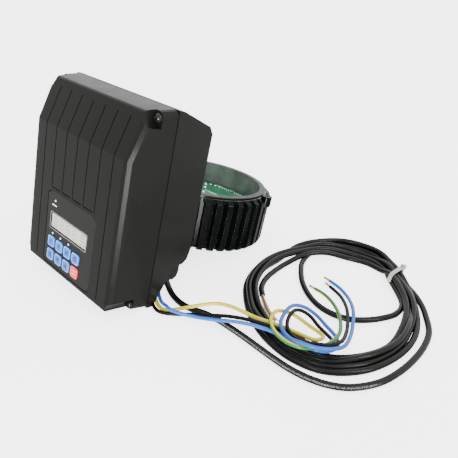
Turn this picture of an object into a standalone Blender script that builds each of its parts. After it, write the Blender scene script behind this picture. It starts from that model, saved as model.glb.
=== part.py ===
"""Variable frequency drive for a pump motor: control box, finned can and its loose cables.

The drive is modelled upright in its own frame: X to the right seen from the keypad, Y
towards the back, Z up from the box's bottom edge. One empty then leans the whole drive
back until it rests on the box's bottom edge and on the can, the way it stands on a bench.
The cables lie on that bench, so they are placed in the bench's frame.
"""
from math import atan2, cos, pi, radians, sin, tan

import bmesh
import bpy
from mathutils import Matrix, Vector

# ---------------------------------------------------------------- driving dimensions, metres
GAP = 0.0003                    # running gap between pieces that touch
WALL = 0.0030                   # moulded wall of the box

# control box, side profile: depth Y, height Z
FACE_HALF = 0.0803              # half width of the box at its front face
PARTING_HALF = 0.0842           # half width where cover and housing meet
BACK_HALF = 0.0815              # half width at the back
PARTING_Y = 0.0450
SEAM = 0.0014                   # space that the gasket fills
BOX_TOP = 0.2052
BOX_BACK = 0.0970
SLOPE_START = 0.1567            # height where the front face starts to lean back
SLOPE_ANGLE = radians(19.24)
TOP_EDGE_Z = 0.2015             # top edge of the front
FACE_BOTTOM = 0.0025
FACE_FILLET = 0.0080
LEDGE_Z = 0.0408                # underside of the housing behind the cable entries
LEDGE_Y = 0.0760
FOOT_Y = 0.0540                 # rear lower edge of the housing
FOOT_CHAMFER = (0.0670, 0.0250)

# corner screws of the cover
NOTCH_RADIUS = 0.0125
NOTCH_FLOOR_Y = 0.0280
NOTCH_X = 0.0845
NOTCH_Z = (0.0025, 0.2000)
SCREW_X = 0.0778
SCREW_Z = (0.0072, 0.1966)
SCREW_HEAD = 0.0042
SCREW_SHANK = 0.0020

# front panel
GROOVE_PITCH = 0.0193
GROOVE_WIDTH = 0.0013
GROOVE_DEPTH = 0.0011
GROOVE_TOP = 0.1934
PANEL_HALF = 0.0437
PANEL_Z = (0.0080, 0.0905)
PANEL_CHAMFER = 0.0070
PANEL_RECESS = 0.0015
OVERLAY_THICK = 0.0009
WINDOW = (-0.0348, 0.0304)
WINDOW_Z = (0.0503, 0.0659)
KEY_SIZE = 0.0126
KEY_X = (-0.0298, -0.0143, 0.0012, 0.0167)
KEY_ROWS = (0.0348, 0.0195)
LAMP_RADIUS = 0.0011
MODE_LAMP_Z = 0.0440
POWER_LAMP = (-0.0296, 0.0806)

# boards in the box
FRONT_BOARD_Y = 0.0118
BOARD_THICK = 0.0016
CONTROL_BOARD_Y = 0.0806
CONTROL_HALF = 0.0620
CONTROL_Z = (0.0600, 0.1780)

# finned can
CAN_Y = 0.1848
CAN_BOTTOM = 0.0410
CAN_TOP = 0.1065
CAN_INNER = 0.0710
CAN_FLOOR = 0.0470
RIM_OUTER = 0.0780
FIN_TIP = 0.0860
FIN_ROOT = 0.0752
FIN_TOP = 0.1035
FIN_COUNT = 40
POWER_BOARD_Z = 0.0782
POWER_BOARD_RADIUS = 0.0690
SADDLE_HALF = 0.0440
SADDLE_Z = (0.0500, 0.1000)
EAR_ANGLES = (radians(22), radians(158))
EAR_REACH = 0.0840

# cable entries
GLAND_X = 0.0645
GLAND_HALF = 0.0110
GLAND_BOTTOM = 0.0205
GLAND_EXIT = (0.0703, 0.0796, 0.0189)   # middle of the bushing's outer face
GLAND_AXIS = (1.0, 0.0, -1.0)
PORT_X = 0.0320
PORT_RADIUS = 0.0065
SADDLE_GAP = 0.0016
CABLE_DIAMETER = 0.0066
LEAD_DIAMETER = 0.0039
CORES_DIAMETER = 0.0032

# coiled part of the communication cable and its tie
COIL_HEIGHT = 0.0124
TIE_CENTRE = (0.2285, 0.1575)
TIE_DIRECTION = (0.73, -0.69)
TIE_WAIST = (0.0096, 0.0052)    # half width and half height of the bundle inside the tie
TIE_THICK = 0.0012
TIE_WIDTH = 0.0045

# ---------------------------------------------------------------- bench pose
CAN_REST_Y = CAN_Y + 0.0820     # rounded fin ends touch the bench here
LEAN = atan2(CAN_BOTTOM, CAN_REST_Y - FOOT_Y)


# ---------------------------------------------------------------- scene and materials
def clear_scene():
    for item in list(bpy.data.objects):
        bpy.data.objects.remove(item, do_unlink=True)


def collection(name):
    made = bpy.data.collections.new(name)
    bpy.context.scene.collection.children.link(made)
    return made


clear_scene()
PARTS = collection("variable_frequency_drive")
CUTTERS = collection("cutters")

POSE = bpy.data.objects.new("bench_pose", None)
PARTS.objects.link(POSE)


def material(name, rgb, roughness, metallic=0.0):
    made = bpy.data.materials.new(name)
    made.use_nodes = True
    shader = made.node_tree.nodes["Principled BSDF"]
    shader.inputs["Base Color"].default_value = (*rgb, 1.0)
    shader.inputs["Roughness"].default_value = roughness
    shader.inputs["Metallic"].default_value = metallic
    made.diffuse_color = (*rgb, 1.0)
    return made


HOUSING_BLACK = material("housing_black", (0.045, 0.045, 0.041), 0.42)
PANEL_BLACK = material("panel_black", (0.040, 0.040, 0.042), 0.35)
GASKET_BLACK = material("gasket_black", (0.012, 0.012, 0.012), 0.80)
SCREW_BLACK = material("screw_black", (0.020, 0.020, 0.021), 0.30, 0.8)
STEEL = material("zinc_steel", (0.55, 0.56, 0.58), 0.35, 1.0)
DISPLAY_GREY = material("display_grey", (0.60, 0.60, 0.53), 0.30)
WINDOW_CLEAR = material("window_clear", (0.70, 0.72, 0.68), 0.08)
KEY_BLUE = material("key_blue", (0.13, 0.36, 0.78), 0.45)
KEY_RED = material("key_red", (0.85, 0.13, 0.12), 0.45)
LAMP_WHITE = material("lamp_white", (0.85, 0.86, 0.82), 0.20)
DOME_GREY = material("dome_silicone", (0.50, 0.50, 0.50), 0.70)
BOARD_GREEN = material("board_green", (0.012, 0.26, 0.11), 0.40)
CAPACITOR_BLACK = material("capacitor_sleeve", (0.03, 0.03, 0.05), 0.35)
TERMINAL_GREEN = material("terminal_green", (0.05, 0.33, 0.12), 0.45)
RELAY_BLUE = material("relay_blue", (0.03, 0.12, 0.40), 0.40)
COPPER = material("copper_winding", (0.65, 0.28, 0.10), 0.30, 1.0)
CAN_BLACK = material("can_black", (0.010, 0.012, 0.012), 0.28)
MODULE_GREY = material("module_grey", (0.10, 0.10, 0.11), 0.50)
PAD_GREY = material("thermal_pad", (0.45, 0.45, 0.48), 0.80)
GLAND_BLACK = material("gland_black", (0.015, 0.015, 0.015), 0.45)
CABLE_BLACK = material("cable_black", (0.022, 0.022, 0.021), 0.38)
LEAD_BLUE = material("lead_blue", (0.10, 0.30, 0.68), 0.35)
LEAD_BLACK = material("lead_black", (0.015, 0.015, 0.015), 0.35)
LEAD_EARTH = material("lead_earth", (0.80, 0.66, 0.09), 0.35)
CORE_WHITE = material("core_white", (0.78, 0.74, 0.70), 0.45)
TIE_WHITE = material("tie_white", (0.72, 0.72, 0.66), 0.45)
BRASS = material("contact_tin", (0.70, 0.68, 0.60), 0.30, 1.0)
RIBBON_GREY = material("ribbon_grey", (0.42, 0.43, 0.45), 0.55)


# ---------------------------------------------------------------- modelling helpers
def add_object(name, mesh, finish, parent=POSE, cutter=False):
    made = bpy.data.objects.new(name, mesh)
    (CUTTERS if cutter else PARTS).objects.link(made)
    made.parent = parent
    if cutter:
        made.hide_render = True
        made.display_type = "WIRE"
    else:
        mesh.materials.append(finish)
    return made


def from_bmesh(name, shape, finish, **options):
    mesh = bpy.data.meshes.new(name)
    bmesh.ops.recalc_face_normals(shape, faces=shape.faces)
    shape.to_mesh(mesh)
    shape.free()
    return add_object(name, mesh, finish, **options)


def box(name, low, high, finish=None, **options):
    """An axis-parallel block between two corners, its origin at its centre."""
    shape = bmesh.new()
    bmesh.ops.create_cube(shape, size=1.0)
    size = [b - a for a, b in zip(low, high)]
    bmesh.ops.scale(shape, vec=size, verts=shape.verts)
    made = from_bmesh(name, shape, finish, **options)
    made.location = [(a + b) / 2 for a, b in zip(low, high)]
    return made


def axis_rotation(axis):
    return Vector((0, 0, 1)).rotation_difference(Vector(axis)).to_euler()


def cylinder(name, centre, radius, depth, axis=(0, 0, 1), finish=None, sides=20, top=None,
             **options):
    """A round bar centred at a point, or a cone when the top radius differs."""
    shape = bmesh.new()
    end = radius if top is None else top
    bmesh.ops.create_cone(shape, cap_ends=True, segments=sides, radius1=radius,
                          radius2=end, depth=depth)
    made = from_bmesh(name, shape, finish, **options)
    made.location = centre
    made.rotation_euler = axis_rotation(axis)
    smooth(made)
    return made


def smooth(item, angle=35):
    item.data.shade_smooth()
    item.data.set_sharp_from_angle(angle=radians(angle))


def turned(name, profile, centre, finish=None, axis=(0, 0, 1), sides=32, **options):
    """A solid of revolution: profile points are (radius, height), outer side top to bottom."""
    mesh = bpy.data.meshes.new(name)
    points = [(radius, 0.0, height) for radius, height in profile]
    edges = [(i, i + 1) for i in range(len(points) - 1)]
    mesh.from_pydata(points, edges, [])
    made = add_object(name, mesh, finish, **options)
    spin = made.modifiers.new("turn", "SCREW")
    spin.steps = sides
    spin.render_steps = sides
    spin.use_merge_vertices = True
    spin.merge_threshold = 0.00001
    spin.use_smooth_shade = False
    made.location = centre
    made.rotation_euler = axis_rotation(axis)
    return made


def outline_mesh(name, outlines, half):
    """A flat outline, or an outline with holes, extruded both ways by half its thickness."""
    curve = bpy.data.curves.new(name, "CURVE")
    curve.dimensions = "2D"
    curve.fill_mode = "BOTH"
    curve.extrude = half
    for points in outlines:
        spline = curve.splines.new("POLY")
        spline.points.add(len(points) - 1)
        for point, (u, v) in zip(spline.points, points):
            point.co = (u, v, 0.0, 1.0)
        spline.use_cyclic_u = True
    carrier = bpy.data.objects.new(name + "_curve", curve)
    bpy.context.scene.collection.objects.link(carrier)
    bpy.context.view_layer.update()
    graph = bpy.context.evaluated_depsgraph_get()
    mesh = bpy.data.meshes.new_from_object(carrier.evaluated_get(graph))
    bpy.data.objects.remove(carrier)
    shape = bmesh.new()
    shape.from_mesh(mesh)
    bmesh.ops.remove_doubles(shape, verts=shape.verts, dist=0.000005)
    if len(outlines) == 1:
        bmesh.ops.dissolve_limit(shape, angle_limit=radians(0.5), verts=shape.verts,
                                 edges=shape.edges)
    bmesh.ops.recalc_face_normals(shape, faces=shape.faces)
    shape.to_mesh(mesh)
    shape.free()
    mesh.materials.clear()
    return mesh


SIDE_VIEW = Matrix(((0, 0, 1), (1, 0, 0), (0, 1, 0))).to_4x4()     # outline in Y and Z
FRONT_VIEW = Matrix(((1, 0, 0), (0, 0, -1), (0, 1, 0))).to_4x4()   # outline in X and Z


def extruded(name, outlines, half, finish=None, view=None, centre=(0, 0, 0), **options):
    mesh = outline_mesh(name, outlines, half)
    if view is not None:
        mesh.transform(view)
    made = add_object(name, mesh, finish, **options)
    made.location = centre
    return made


def cut(target, *cutters):
    for cutter in cutters:
        made = target.modifiers.new("cut_" + cutter.name, "BOOLEAN")
        made.operation = "DIFFERENCE"
        made.object = cutter
    return target


def fuse(target, *additions):
    for addition in additions:
        made = target.modifiers.new("join_" + addition.name, "BOOLEAN")
        made.operation = "UNION"
        made.object = addition
    return target


def keep_inside(target, envelope):
    made = target.modifiers.new("trim_" + envelope.name, "BOOLEAN")
    made.operation = "INTERSECT"
    made.object = envelope
    return target


def round_edges(item, width, segments=2, angle=30):
    made = item.modifiers.new("round", "BEVEL")
    made.width = width
    made.segments = segments
    made.limit_method = "ANGLE"
    made.angle_limit = radians(angle)
    return item


def weigh_edges(mesh, weight_of):
    """Gives each edge the share of the bevel width that weight_of(a, b) says."""
    weights = mesh.attributes.new("bevel_weight_edge", "FLOAT", "EDGE")
    for edge, entry in zip(mesh.edges, weights.data):
        a, b = (mesh.vertices[i].co for i in edge.vertices)
        entry.value = weight_of(a, b)


def round_by_weight(item, width, segments=3):
    made = item.modifiers.new("round", "BEVEL")
    made.width = width
    made.segments = segments
    made.limit_method = "WEIGHT"
    return item


def rounded_rectangle(x0, x1, z0, z1, radius, steps=3):
    points = []
    for cx, cz, start in ((x1 - radius, z1 - radius, 0), (x0 + radius, z1 - radius, 90),
                          (x0 + radius, z0 + radius, 180), (x1 - radius, z0 + radius, 270)):
        for i in range(steps + 1):
            angle = radians(start + 90 * i / steps)
            points.append((cx + radius * cos(angle), cz + radius * sin(angle)))
    return points


def inset(points, distance):
    """Moves each side of a counter-clockwise outline inwards by a distance."""
    moved = []
    count = len(points)
    for i in range(count):
        before, here, after = (Vector(points[(i + k) % count]) for k in (-1, 0, 1))
        first = (here - before).normalized()
        second = (after - here).normalized()
        normal = Vector((-first.y - second.y, first.x + second.x)).normalized()
        spread = normal.dot(Vector((-first.y, first.x)))
        moved.append(tuple(here + normal * distance / spread))
    return moved


# ---------------------------------------------------------------- control box shells
def front_half_width(y):
    return FACE_HALF + (PARTING_HALF - FACE_HALF) * y / PARTING_Y


def back_half_width(y):
    return PARTING_HALF + (BACK_HALF - PARTING_HALF) * (y - PARTING_Y) / (BOX_BACK - PARTING_Y)


def slope_y(z):
    """Depth of the front surface at a height."""
    return max(0.0, (z - SLOPE_START) * tan(SLOPE_ANGLE))


COVER_EDGE = PARTING_Y - SEAM / 2
HOUSING_EDGE = PARTING_Y + SEAM / 2
COVER_PROFILE = [
    (0.0, FACE_BOTTOM),
    (COVER_EDGE, 0.0002),
    (COVER_EDGE, BOX_TOP - 0.0002),
    (slope_y(TOP_EDGE_Z), TOP_EDGE_Z),
    (0.0, SLOPE_START),
]
HOUSING_PROFILE = [
    (HOUSING_EDGE, 0.0004),
    (FOOT_Y, 0.0004),
    FOOT_CHAMFER,
    (LEDGE_Y, LEDGE_Z),
    (0.0880, LEDGE_Z + 0.0010),
    (0.0945, 0.0470),
    (BOX_BACK, 0.0560),
    (BOX_BACK, 0.1830),
    (0.0920, 0.1900),
    (0.0530, 0.2042),
    (HOUSING_EDGE, BOX_TOP - 0.0002),
]


def side_profile_block(name, profile, half_width, finish=None, inner=0.0, **options):
    """A block with a given side profile whose flanks follow half_width(y)."""
    mesh = outline_mesh(name, [profile], 1.0)
    mesh.transform(SIDE_VIEW)
    for vertex in mesh.vertices:
        reach = half_width(vertex.co.y) - inner
        vertex.co.x = reach if vertex.co.x > 0 else -reach
    return add_object(name, mesh, finish, **options)


def on_front(point, tolerance=0.0004):
    return abs(point.y - slope_y(point.z)) < tolerance and point.y < COVER_EDGE - 0.01


def cover_edge_share(a, b):
    """Share of FACE_FILLET that each edge of the cover gets."""
    if on_front(a) and on_front(b):
        if abs(a.x - b.x) > FACE_HALF:
            bend = abs(a.z - SLOPE_START) < 0.001
            return 0.0 if bend else 0.35
        return 1.0
    if on_front(a) or on_front(b):
        return 0.75
    return 0.0


def corner_places(xs, zs):
    return [(sign * xs, z) for z in zs for sign in (-1, 1)]


def cover_grooves():
    """Seven grooves in the face, as one cutter that follows the bend."""
    cutters = []
    for index in range(-3, 4):
        outer = abs(index) == 3
        low = 0.0095 if outer else 0.0932
        half = GROOVE_WIDTH / 2
        x = index * GROOVE_PITCH
        side = [
            (-0.002, low), (GROOVE_DEPTH, low), (GROOVE_DEPTH, SLOPE_START),
            (slope_y(GROOVE_TOP) + GROOVE_DEPTH, GROOVE_TOP),
            (slope_y(GROOVE_TOP) - 0.002, GROOVE_TOP), (-0.002, SLOPE_START - 0.001),
        ]
        cutters.append(extruded(f"groove_cutter_{index + 4}", [side], half, view=SIDE_VIEW,
                                centre=(x, 0, 0), cutter=True))
    for index in range(-2, 2):
        left = index * GROOVE_PITCH + 0.0014
        right = (index + 1) * GROOVE_PITCH - 0.0035
        cutters.append(box(f"groove_end_cutter_{index + 3}", (left, -0.002, 0.0932),
                           (right, GROOVE_DEPTH, 0.0944), cutter=True))
    return cutters


def key_places():
    """Name, x and z of each key."""
    names = (("mode_1", "mode_2", "mode_3", "mode_4"), ("menu", "down", "up", "stop"))
    for row, z in zip(names, KEY_ROWS):
        for name, x in zip(row, KEY_X):
            yield name, x, z


def panel_outline(grow=0.0):
    """The keypad panel: a rectangle with two chamfered upper corners."""
    half = PANEL_HALF + grow
    low, high = PANEL_Z[0] - grow, PANEL_Z[1] + grow
    chamfer = PANEL_CHAMFER
    radius = 0.0060
    lower = [(-half, low + radius)]
    for start in (180, 270):
        cx = (-half + radius) if start == 180 else (half - radius)
        for i in range(4):
            angle = radians(start + 30 * i)
            lower.append((cx + radius * cos(angle), low + radius + radius * sin(angle)))
    return lower[1:] + [(half, high - chamfer * 0.6), (half - chamfer, high),
                        (-half + chamfer, high), (-half, high - chamfer * 0.6)]


def panel_openings(clearance):
    """Outlines of the openings for the display and the keys."""
    openings = [rounded_rectangle(WINDOW[0] - clearance, WINDOW[1] + clearance,
                                  WINDOW_Z[0] - clearance, WINDOW_Z[1] + clearance, 0.001, 2)]
    half = KEY_SIZE / 2 + clearance
    for _, x, z in key_places():
        openings.append(rounded_rectangle(x - half, x + half, z - half, z + half, 0.0030, 2))
    return openings


def lamp_places():
    places = [("power", *POWER_LAMP)]
    places += [(f"mode_{i + 1}", KEY_X[i], MODE_LAMP_Z) for i in range(3)]
    return places


def make_front_cover():
    cover = side_profile_block("front_cover", COVER_PROFILE, front_half_width, HOUSING_BLACK)
    weigh_edges(cover.data, cover_edge_share)
    round_by_weight(cover, FACE_FILLET)

    hollow_profile = inset(COVER_PROFILE, WALL)
    hollow_profile = [(y + 0.02 if y > COVER_EDGE - 0.01 else y, z) for y, z in hollow_profile]
    hollow = side_profile_block("cover_hollow", hollow_profile, front_half_width, inner=WALL,
                                cutter=True)
    posts = []
    for index, (x, z) in enumerate(corner_places(NOTCH_X, NOTCH_Z), 1):
        posts.append(cylinder(f"cover_post_{index}", (x, 0.02, z), NOTCH_RADIUS + WALL, 0.10,
                              (0, 1, 0), sides=24, cutter=True))
    for index, (x, z) in enumerate(front_board_pegs(), 1):
        posts.append(cylinder(f"panel_boss_{index}", (x, 0.0, z), 0.0026,
                              2 * (FRONT_BOARD_Y - GAP), (0, 1, 0), sides=12, cutter=True))
    cut(hollow, *posts)
    cut(cover, hollow)

    for index, (x, z) in enumerate(corner_places(NOTCH_X, NOTCH_Z), 1):
        cut(cover, cylinder(f"corner_notch_{index}", (x, NOTCH_FLOOR_Y - 0.03, z), NOTCH_RADIUS,
                            0.06, (0, 1, 0), sides=28, cutter=True))
    for index, (x, z) in enumerate(corner_places(SCREW_X, SCREW_Z), 1):
        cut(cover, cylinder(f"screw_hole_{index}", (x, PARTING_Y - 0.01, z),
                            SCREW_SHANK + GAP, 0.03, (0, 1, 0), sides=12, cutter=True))

    cut(cover, extruded("panel_recess", [panel_outline(GAP)], PANEL_RECESS, view=FRONT_VIEW,
                        cutter=True))
    for index, outline in enumerate(panel_openings(2 * GAP), 1):
        cut(cover, extruded(f"panel_opening_{index}", [outline], 0.0090, view=FRONT_VIEW,
                            cutter=True))
    for name, x, z in lamp_places():
        cut(cover, cylinder(f"lamp_hole_{name}", (x, 0, z), LAMP_RADIUS + GAP, 0.02, (0, 1, 0),
                            sides=12, cutter=True))
    cut(cover, *cover_grooves())
    return cover


def housing_edge_share(a, b):
    """Share of the 6 mm radius that each edge of the rear housing gets."""
    if min(a.y, b.y) < HOUSING_EDGE + 0.001:
        return 0.0
    if abs(a.x - b.x) > BACK_HALF:
        at_ledge = a.z < LEDGE_Z + 0.002 and a.y > FOOT_Y + 0.001
        return 0.0 if at_ledge else 0.3
    high = min(a.z, b.z) > LEDGE_Z + 0.001
    return 0.9 if high else 0.4


def back_openings():
    """Cutters of the housing's back wall: the wire passage and the four bolt holes."""
    passage = cylinder("passage_cutter", (0, BOX_BACK, 0.075), 0.0100, 0.03, (0, 1, 0),
                       sides=24, cutter=True)
    bolts = []
    for index, (x, z) in enumerate(saddle_bolts(), 1):
        bolts.append(cylinder(f"bolt_hole_{index}", (x, BOX_BACK, z), 0.0024, 0.03, (0, 1, 0),
                              sides=12, cutter=True))
    return [passage, *bolts]


def make_rear_housing():
    housing = side_profile_block("rear_housing", HOUSING_PROFILE, back_half_width,
                                 HOUSING_BLACK)
    weigh_edges(housing.data, housing_edge_share)
    round_by_weight(housing, 0.0060)

    hollow_profile = inset(HOUSING_PROFILE, WALL)
    hollow_profile = [(y - 0.02 if y < HOUSING_EDGE + 0.005 else y, z)
                      for y, z in hollow_profile]
    hollow = side_profile_block("housing_hollow", hollow_profile, back_half_width, inner=WALL,
                                cutter=True)
    bosses = [cylinder(f"screw_boss_{i}", (x, PARTING_Y + 0.01, z), 0.0058, 0.06, (0, 1, 0),
                       sides=16, cutter=True)
              for i, (x, z) in enumerate(corner_places(SCREW_X, SCREW_Z), 1)]
    cut(hollow, *bosses)
    cut(housing, hollow)
    for index, (x, z) in enumerate(corner_places(SCREW_X, SCREW_Z), 1):
        depth = 0.006 if z < PARTING_Y else 0.010
        cut(housing, cylinder(f"boss_hole_{index}", (x, HOUSING_EDGE + depth / 2 - 0.003, z),
                              SCREW_SHANK + GAP, depth + 0.006, (0, 1, 0), sides=12,
                              cutter=True))
    cut(housing, *back_openings())
    centre, normal = port_frame()
    cut(housing, cylinder("port_hole", centre, PORT_RADIUS + GAP, 0.012, normal, sides=20,
                          cutter=True))
    cut(housing, cylinder("gland_hole", (GLAND_X, 0.0840, LEDGE_Z), 0.0050, 0.02, sides=16,
                          cutter=True))
    return housing


def make_gasket():
    """A flat ring between the rims, a little inside the outer surface."""
    def ring(margin):
        half = PARTING_HALF - margin
        return rounded_rectangle(-half, half, margin + 0.0006, BOX_TOP - margin - 0.0004,
                                 0.0050 - margin, 3)
    gasket = extruded("cover_gasket", [ring(0.0007), ring(0.0024)], SEAM / 2 - GAP,
                      GASKET_BLACK, view=FRONT_VIEW, centre=(0, PARTING_Y, 0))
    return gasket


def make_cover_screws():
    """Button-head screws that face the front, with a hexagon socket."""
    for index, (x, z) in enumerate(corner_places(SCREW_X, SCREW_Z), 1):
        length = 0.020 if z < PARTING_Y else 0.024
        profile = [
            (0.0, 0.0040), (0.0022, 0.0040), (0.0036, 0.0030), (SCREW_HEAD, 0.0014),
            (SCREW_HEAD, 0.0), (SCREW_SHANK, 0.0), (SCREW_SHANK, -length), (0.0, -length),
        ]
        screw = turned(f"cover_screw_{index}", profile, (x, NOTCH_FLOOR_Y - GAP, z),
                       SCREW_BLACK, axis=(0, -1, 0), sides=16)
        cut(screw, cylinder(f"socket_{index}", (x, NOTCH_FLOOR_Y - 0.0044, z), 0.0017, 0.0036,
                            (0, 1, 0), sides=6, cutter=True))


# ---------------------------------------------------------------- keypad and display
def front_board_pegs():
    return [(sign * 0.0400, z) for sign in (-1, 1) for z in (0.0120, 0.0860)]


def make_keypad():
    overlay_y = PANEL_RECESS - OVERLAY_THICK / 2 - GAP
    overlay = extruded("keypad_overlay", [panel_outline(-GAP)], OVERLAY_THICK / 2,
                       PANEL_BLACK, view=FRONT_VIEW, centre=(0, overlay_y, 0))
    for index, outline in enumerate(panel_openings(GAP), 1):
        cut(overlay, extruded(f"overlay_opening_{index}", [outline], 0.0060, view=FRONT_VIEW,
                              cutter=True))
    for name, x, z in lamp_places():
        cut(overlay, cylinder(f"overlay_lamp_hole_{name}", (x, 0, z), LAMP_RADIUS + GAP, 0.02,
                              (0, 1, 0), sides=12, cutter=True))

    for name, x, z in key_places():
        finish = KEY_RED if name == "stop" else KEY_BLUE
        make_key(name, x, z, finish)

    for name, x, z in lamp_places():
        cylinder(f"lamp_{name}", (x, 0.0047, z), LAMP_RADIUS, 0.0090, (0, 1, 0), LAMP_WHITE,
                 sides=12)


def make_key(name, x, z, finish):
    """A key cap with the flange that keeps it behind the cover."""
    half = KEY_SIZE / 2
    front, back = -0.0008, 0.0050
    middle = (front + back) / 2
    cap = extruded(f"key_{name}", [rounded_rectangle(-half, half, -half, half, 0.0028, 3)],
                   (back - front) / 2, finish, view=FRONT_VIEW, centre=(x, middle, z))
    round_edges(cap, 0.0004, 1)
    wide = half + 0.0008
    flange = extruded(f"key_flange_{name}",
                      [rounded_rectangle(-wide, wide, -wide, wide, 0.0030, 2)], 0.0005,
                      view=FRONT_VIEW, centre=(x, back - 0.0001, z), cutter=True)
    fuse(cap, flange)


def make_front_board():
    """The board behind the panel, its dome mat and the display module."""
    board = box("front_board", (-0.0430, FRONT_BOARD_Y, 0.0095),
                (0.0430, FRONT_BOARD_Y + BOARD_THICK, 0.0885), BOARD_GREEN)
    for index, (x, z) in enumerate(front_board_pegs(), 1):
        cut(board, cylinder(f"peg_hole_{index}", (x, FRONT_BOARD_Y, z), 0.0016, 0.01,
                            (0, 1, 0), sides=12, cutter=True))
    mat_back = FRONT_BOARD_Y - GAP
    mat = box("dome_mat", (-0.0370, mat_back - 0.0010, 0.0115),
              (0.0255, mat_back, 0.0420), DOME_GREY)
    top = 0.0070
    for name, x, z in key_places():
        depth = mat_back - 0.0005 - top
        fuse(mat, cylinder(f"dome_{name}", (x, top + depth / 2, z), 0.0022, depth, (0, 1, 0),
                           sides=12, top=0.0046, cutter=True))
    box("display_module", (WINDOW[0] - 0.0010, 0.0052, WINDOW_Z[0] - 0.0024),
        (WINDOW[1] + 0.0010, FRONT_BOARD_Y - GAP, WINDOW_Z[1] + 0.0024), DISPLAY_GREY)
    window = extruded("display_window",
                      [rounded_rectangle(WINDOW[0], WINDOW[1], WINDOW_Z[0], WINDOW_Z[1],
                                         0.0008, 2)],
                      0.0011, WINDOW_CLEAR, view=FRONT_VIEW, centre=(0, 0.0023, 0))
    round_edges(window, 0.0002, 1)


def make_ribbon():
    """A flat ribbon lead from the front board's socket to the control board."""
    start = FRONT_BOARD_Y + BOARD_THICK + GAP
    end = CONTROL_BOARD_Y - GAP
    low, high = 0.0780, 0.0960
    thickness = 0.0010
    outer = [(start, low), (start + 0.006, low), (start + 0.012, low + 0.004),
             (end - 0.012, high - 0.004), (end - 0.006, high), (end, high)]
    inner = [(y, z + thickness * 1.6) for y, z in reversed(outer)]
    extruded("ribbon_lead", [outer + inner], 0.0100, RIBBON_GREY, view=SIDE_VIEW,
             centre=(0.024, 0, 0))


# ---------------------------------------------------------------- control board
def make_control_board():
    front = CONTROL_BOARD_Y
    board = box("control_board", (-CONTROL_HALF, front, CONTROL_Z[0]),
                (CONTROL_HALF, front + BOARD_THICK, CONTROL_Z[1]), BOARD_GREEN)
    places = corner_places(CONTROL_HALF - 0.006,
                           (CONTROL_Z[0] + 0.006, CONTROL_Z[1] - 0.006))
    inner_wall = BOX_BACK - WALL - GAP
    for index, (x, z) in enumerate(places, 1):
        cut(board, cylinder(f"standoff_hole_{index}", (x, front, z), 0.0018, 0.01, (0, 1, 0),
                            sides=12, cutter=True))
        back = front + BOARD_THICK + GAP
        standoff = cylinder(f"board_standoff_{index}", (x, (back + inner_wall) / 2, z),
                            0.0032, inner_wall - back, (0, 1, 0), STEEL, sides=6)
        nose = cylinder(f"standoff_nose_{index}", (x, front - 0.0005, z), 0.0014, 0.008,
                        (0, 1, 0), sides=12, cutter=True)
        head = cylinder(f"standoff_head_{index}", (x, front - GAP - 0.0009, z), 0.0028,
                        0.0018, (0, 1, 0), sides=12, cutter=True)
        fuse(standoff, nose, head)

    top = front - GAP
    for index, x in enumerate((-0.036, -0.008), 1):
        capacitor = cylinder(f"bus_capacitor_{index}", (x, top - 0.0200, 0.1500), 0.0125,
                             0.0400, (0, 1, 0), CAPACITOR_BLACK, sides=20)
        round_edges(capacitor, 0.0010, 1)

    choke = turned("line_choke", ring_profile(0.0125, 0.0055, 10), (0.0350, top - 0.0062,
                   0.1480), COPPER, axis=(0, 1, 0), sides=18)
    choke.modifiers["turn"].use_merge_vertices = True
    relay = box("relay", (-0.0520, top - 0.0160, 0.0900), (-0.0240, top, 0.1060), RELAY_BLUE)
    round_edges(relay, 0.0008, 1)
    block = box("terminal_block", (0.0120, top - 0.0140, 0.0580), (0.0520, top, 0.0740),
                TERMINAL_GREEN)
    for index in range(3):
        x = 0.0120 + 0.0400 * (index + 0.5) / 3
        cut(block, box(f"terminal_mouth_{index}", (x - 0.0040, top - 0.0110, 0.0570),
                       (x + 0.0040, top - 0.0040, 0.0660), cutter=True))
        cut(block, cylinder(f"terminal_screw_{index}", (x, top - 0.0140, 0.0700), 0.0022,
                            0.0060, (0, 1, 0), sides=12, cutter=True))


def ring_profile(radius, thick, count):
    """A closed circle of a ring's section, in turning order."""
    points = []
    for i in range(count + 1):
        angle = pi / 2 - 2 * pi * i / count
        points.append((radius + thick * cos(angle), thick * sin(angle)))
    return points


# ---------------------------------------------------------------- finned can
def saddle_bolts():
    return [(sign * 0.0340, z) for sign in (-1, 1) for z in (0.0620, 0.0900)]


def can_blank_profile():
    """Outside of the casting: rim, shoulder, fin tips with rounded lower ends, base."""
    lower = []
    radius = 0.0065
    for i in range(4):
        angle = radians(90 * i / 3)
        lower.append((FIN_TIP - radius + radius * cos(angle),
                      CAN_BOTTOM + radius - radius * sin(angle)))
    return [(0.0, CAN_TOP), (RIM_OUTER - 0.0006, CAN_TOP), (RIM_OUTER, CAN_TOP - 0.0006),
            (RIM_OUTER, FIN_TOP), (RIM_OUTER + 0.0015, FIN_TOP),
            (FIN_TIP, FIN_TOP - 0.0040)] + lower + [(0.0, CAN_BOTTOM)]


def fin_outline():
    """The toothed outline of the fins, with the saddle's side left round."""
    points = []
    pitch = 2 * pi / FIN_COUNT
    tip = FIN_TIP + 0.002
    for index in range(FIN_COUNT):
        middle = (index + 0.5) * pitch
        for radius, offset in ((FIN_ROOT, -0.34), (tip, -0.19), (tip, 0.19), (FIN_ROOT, 0.34)):
            angle = middle + offset * pitch
            points.append((radius * cos(angle), radius * sin(angle)))
    return points


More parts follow.
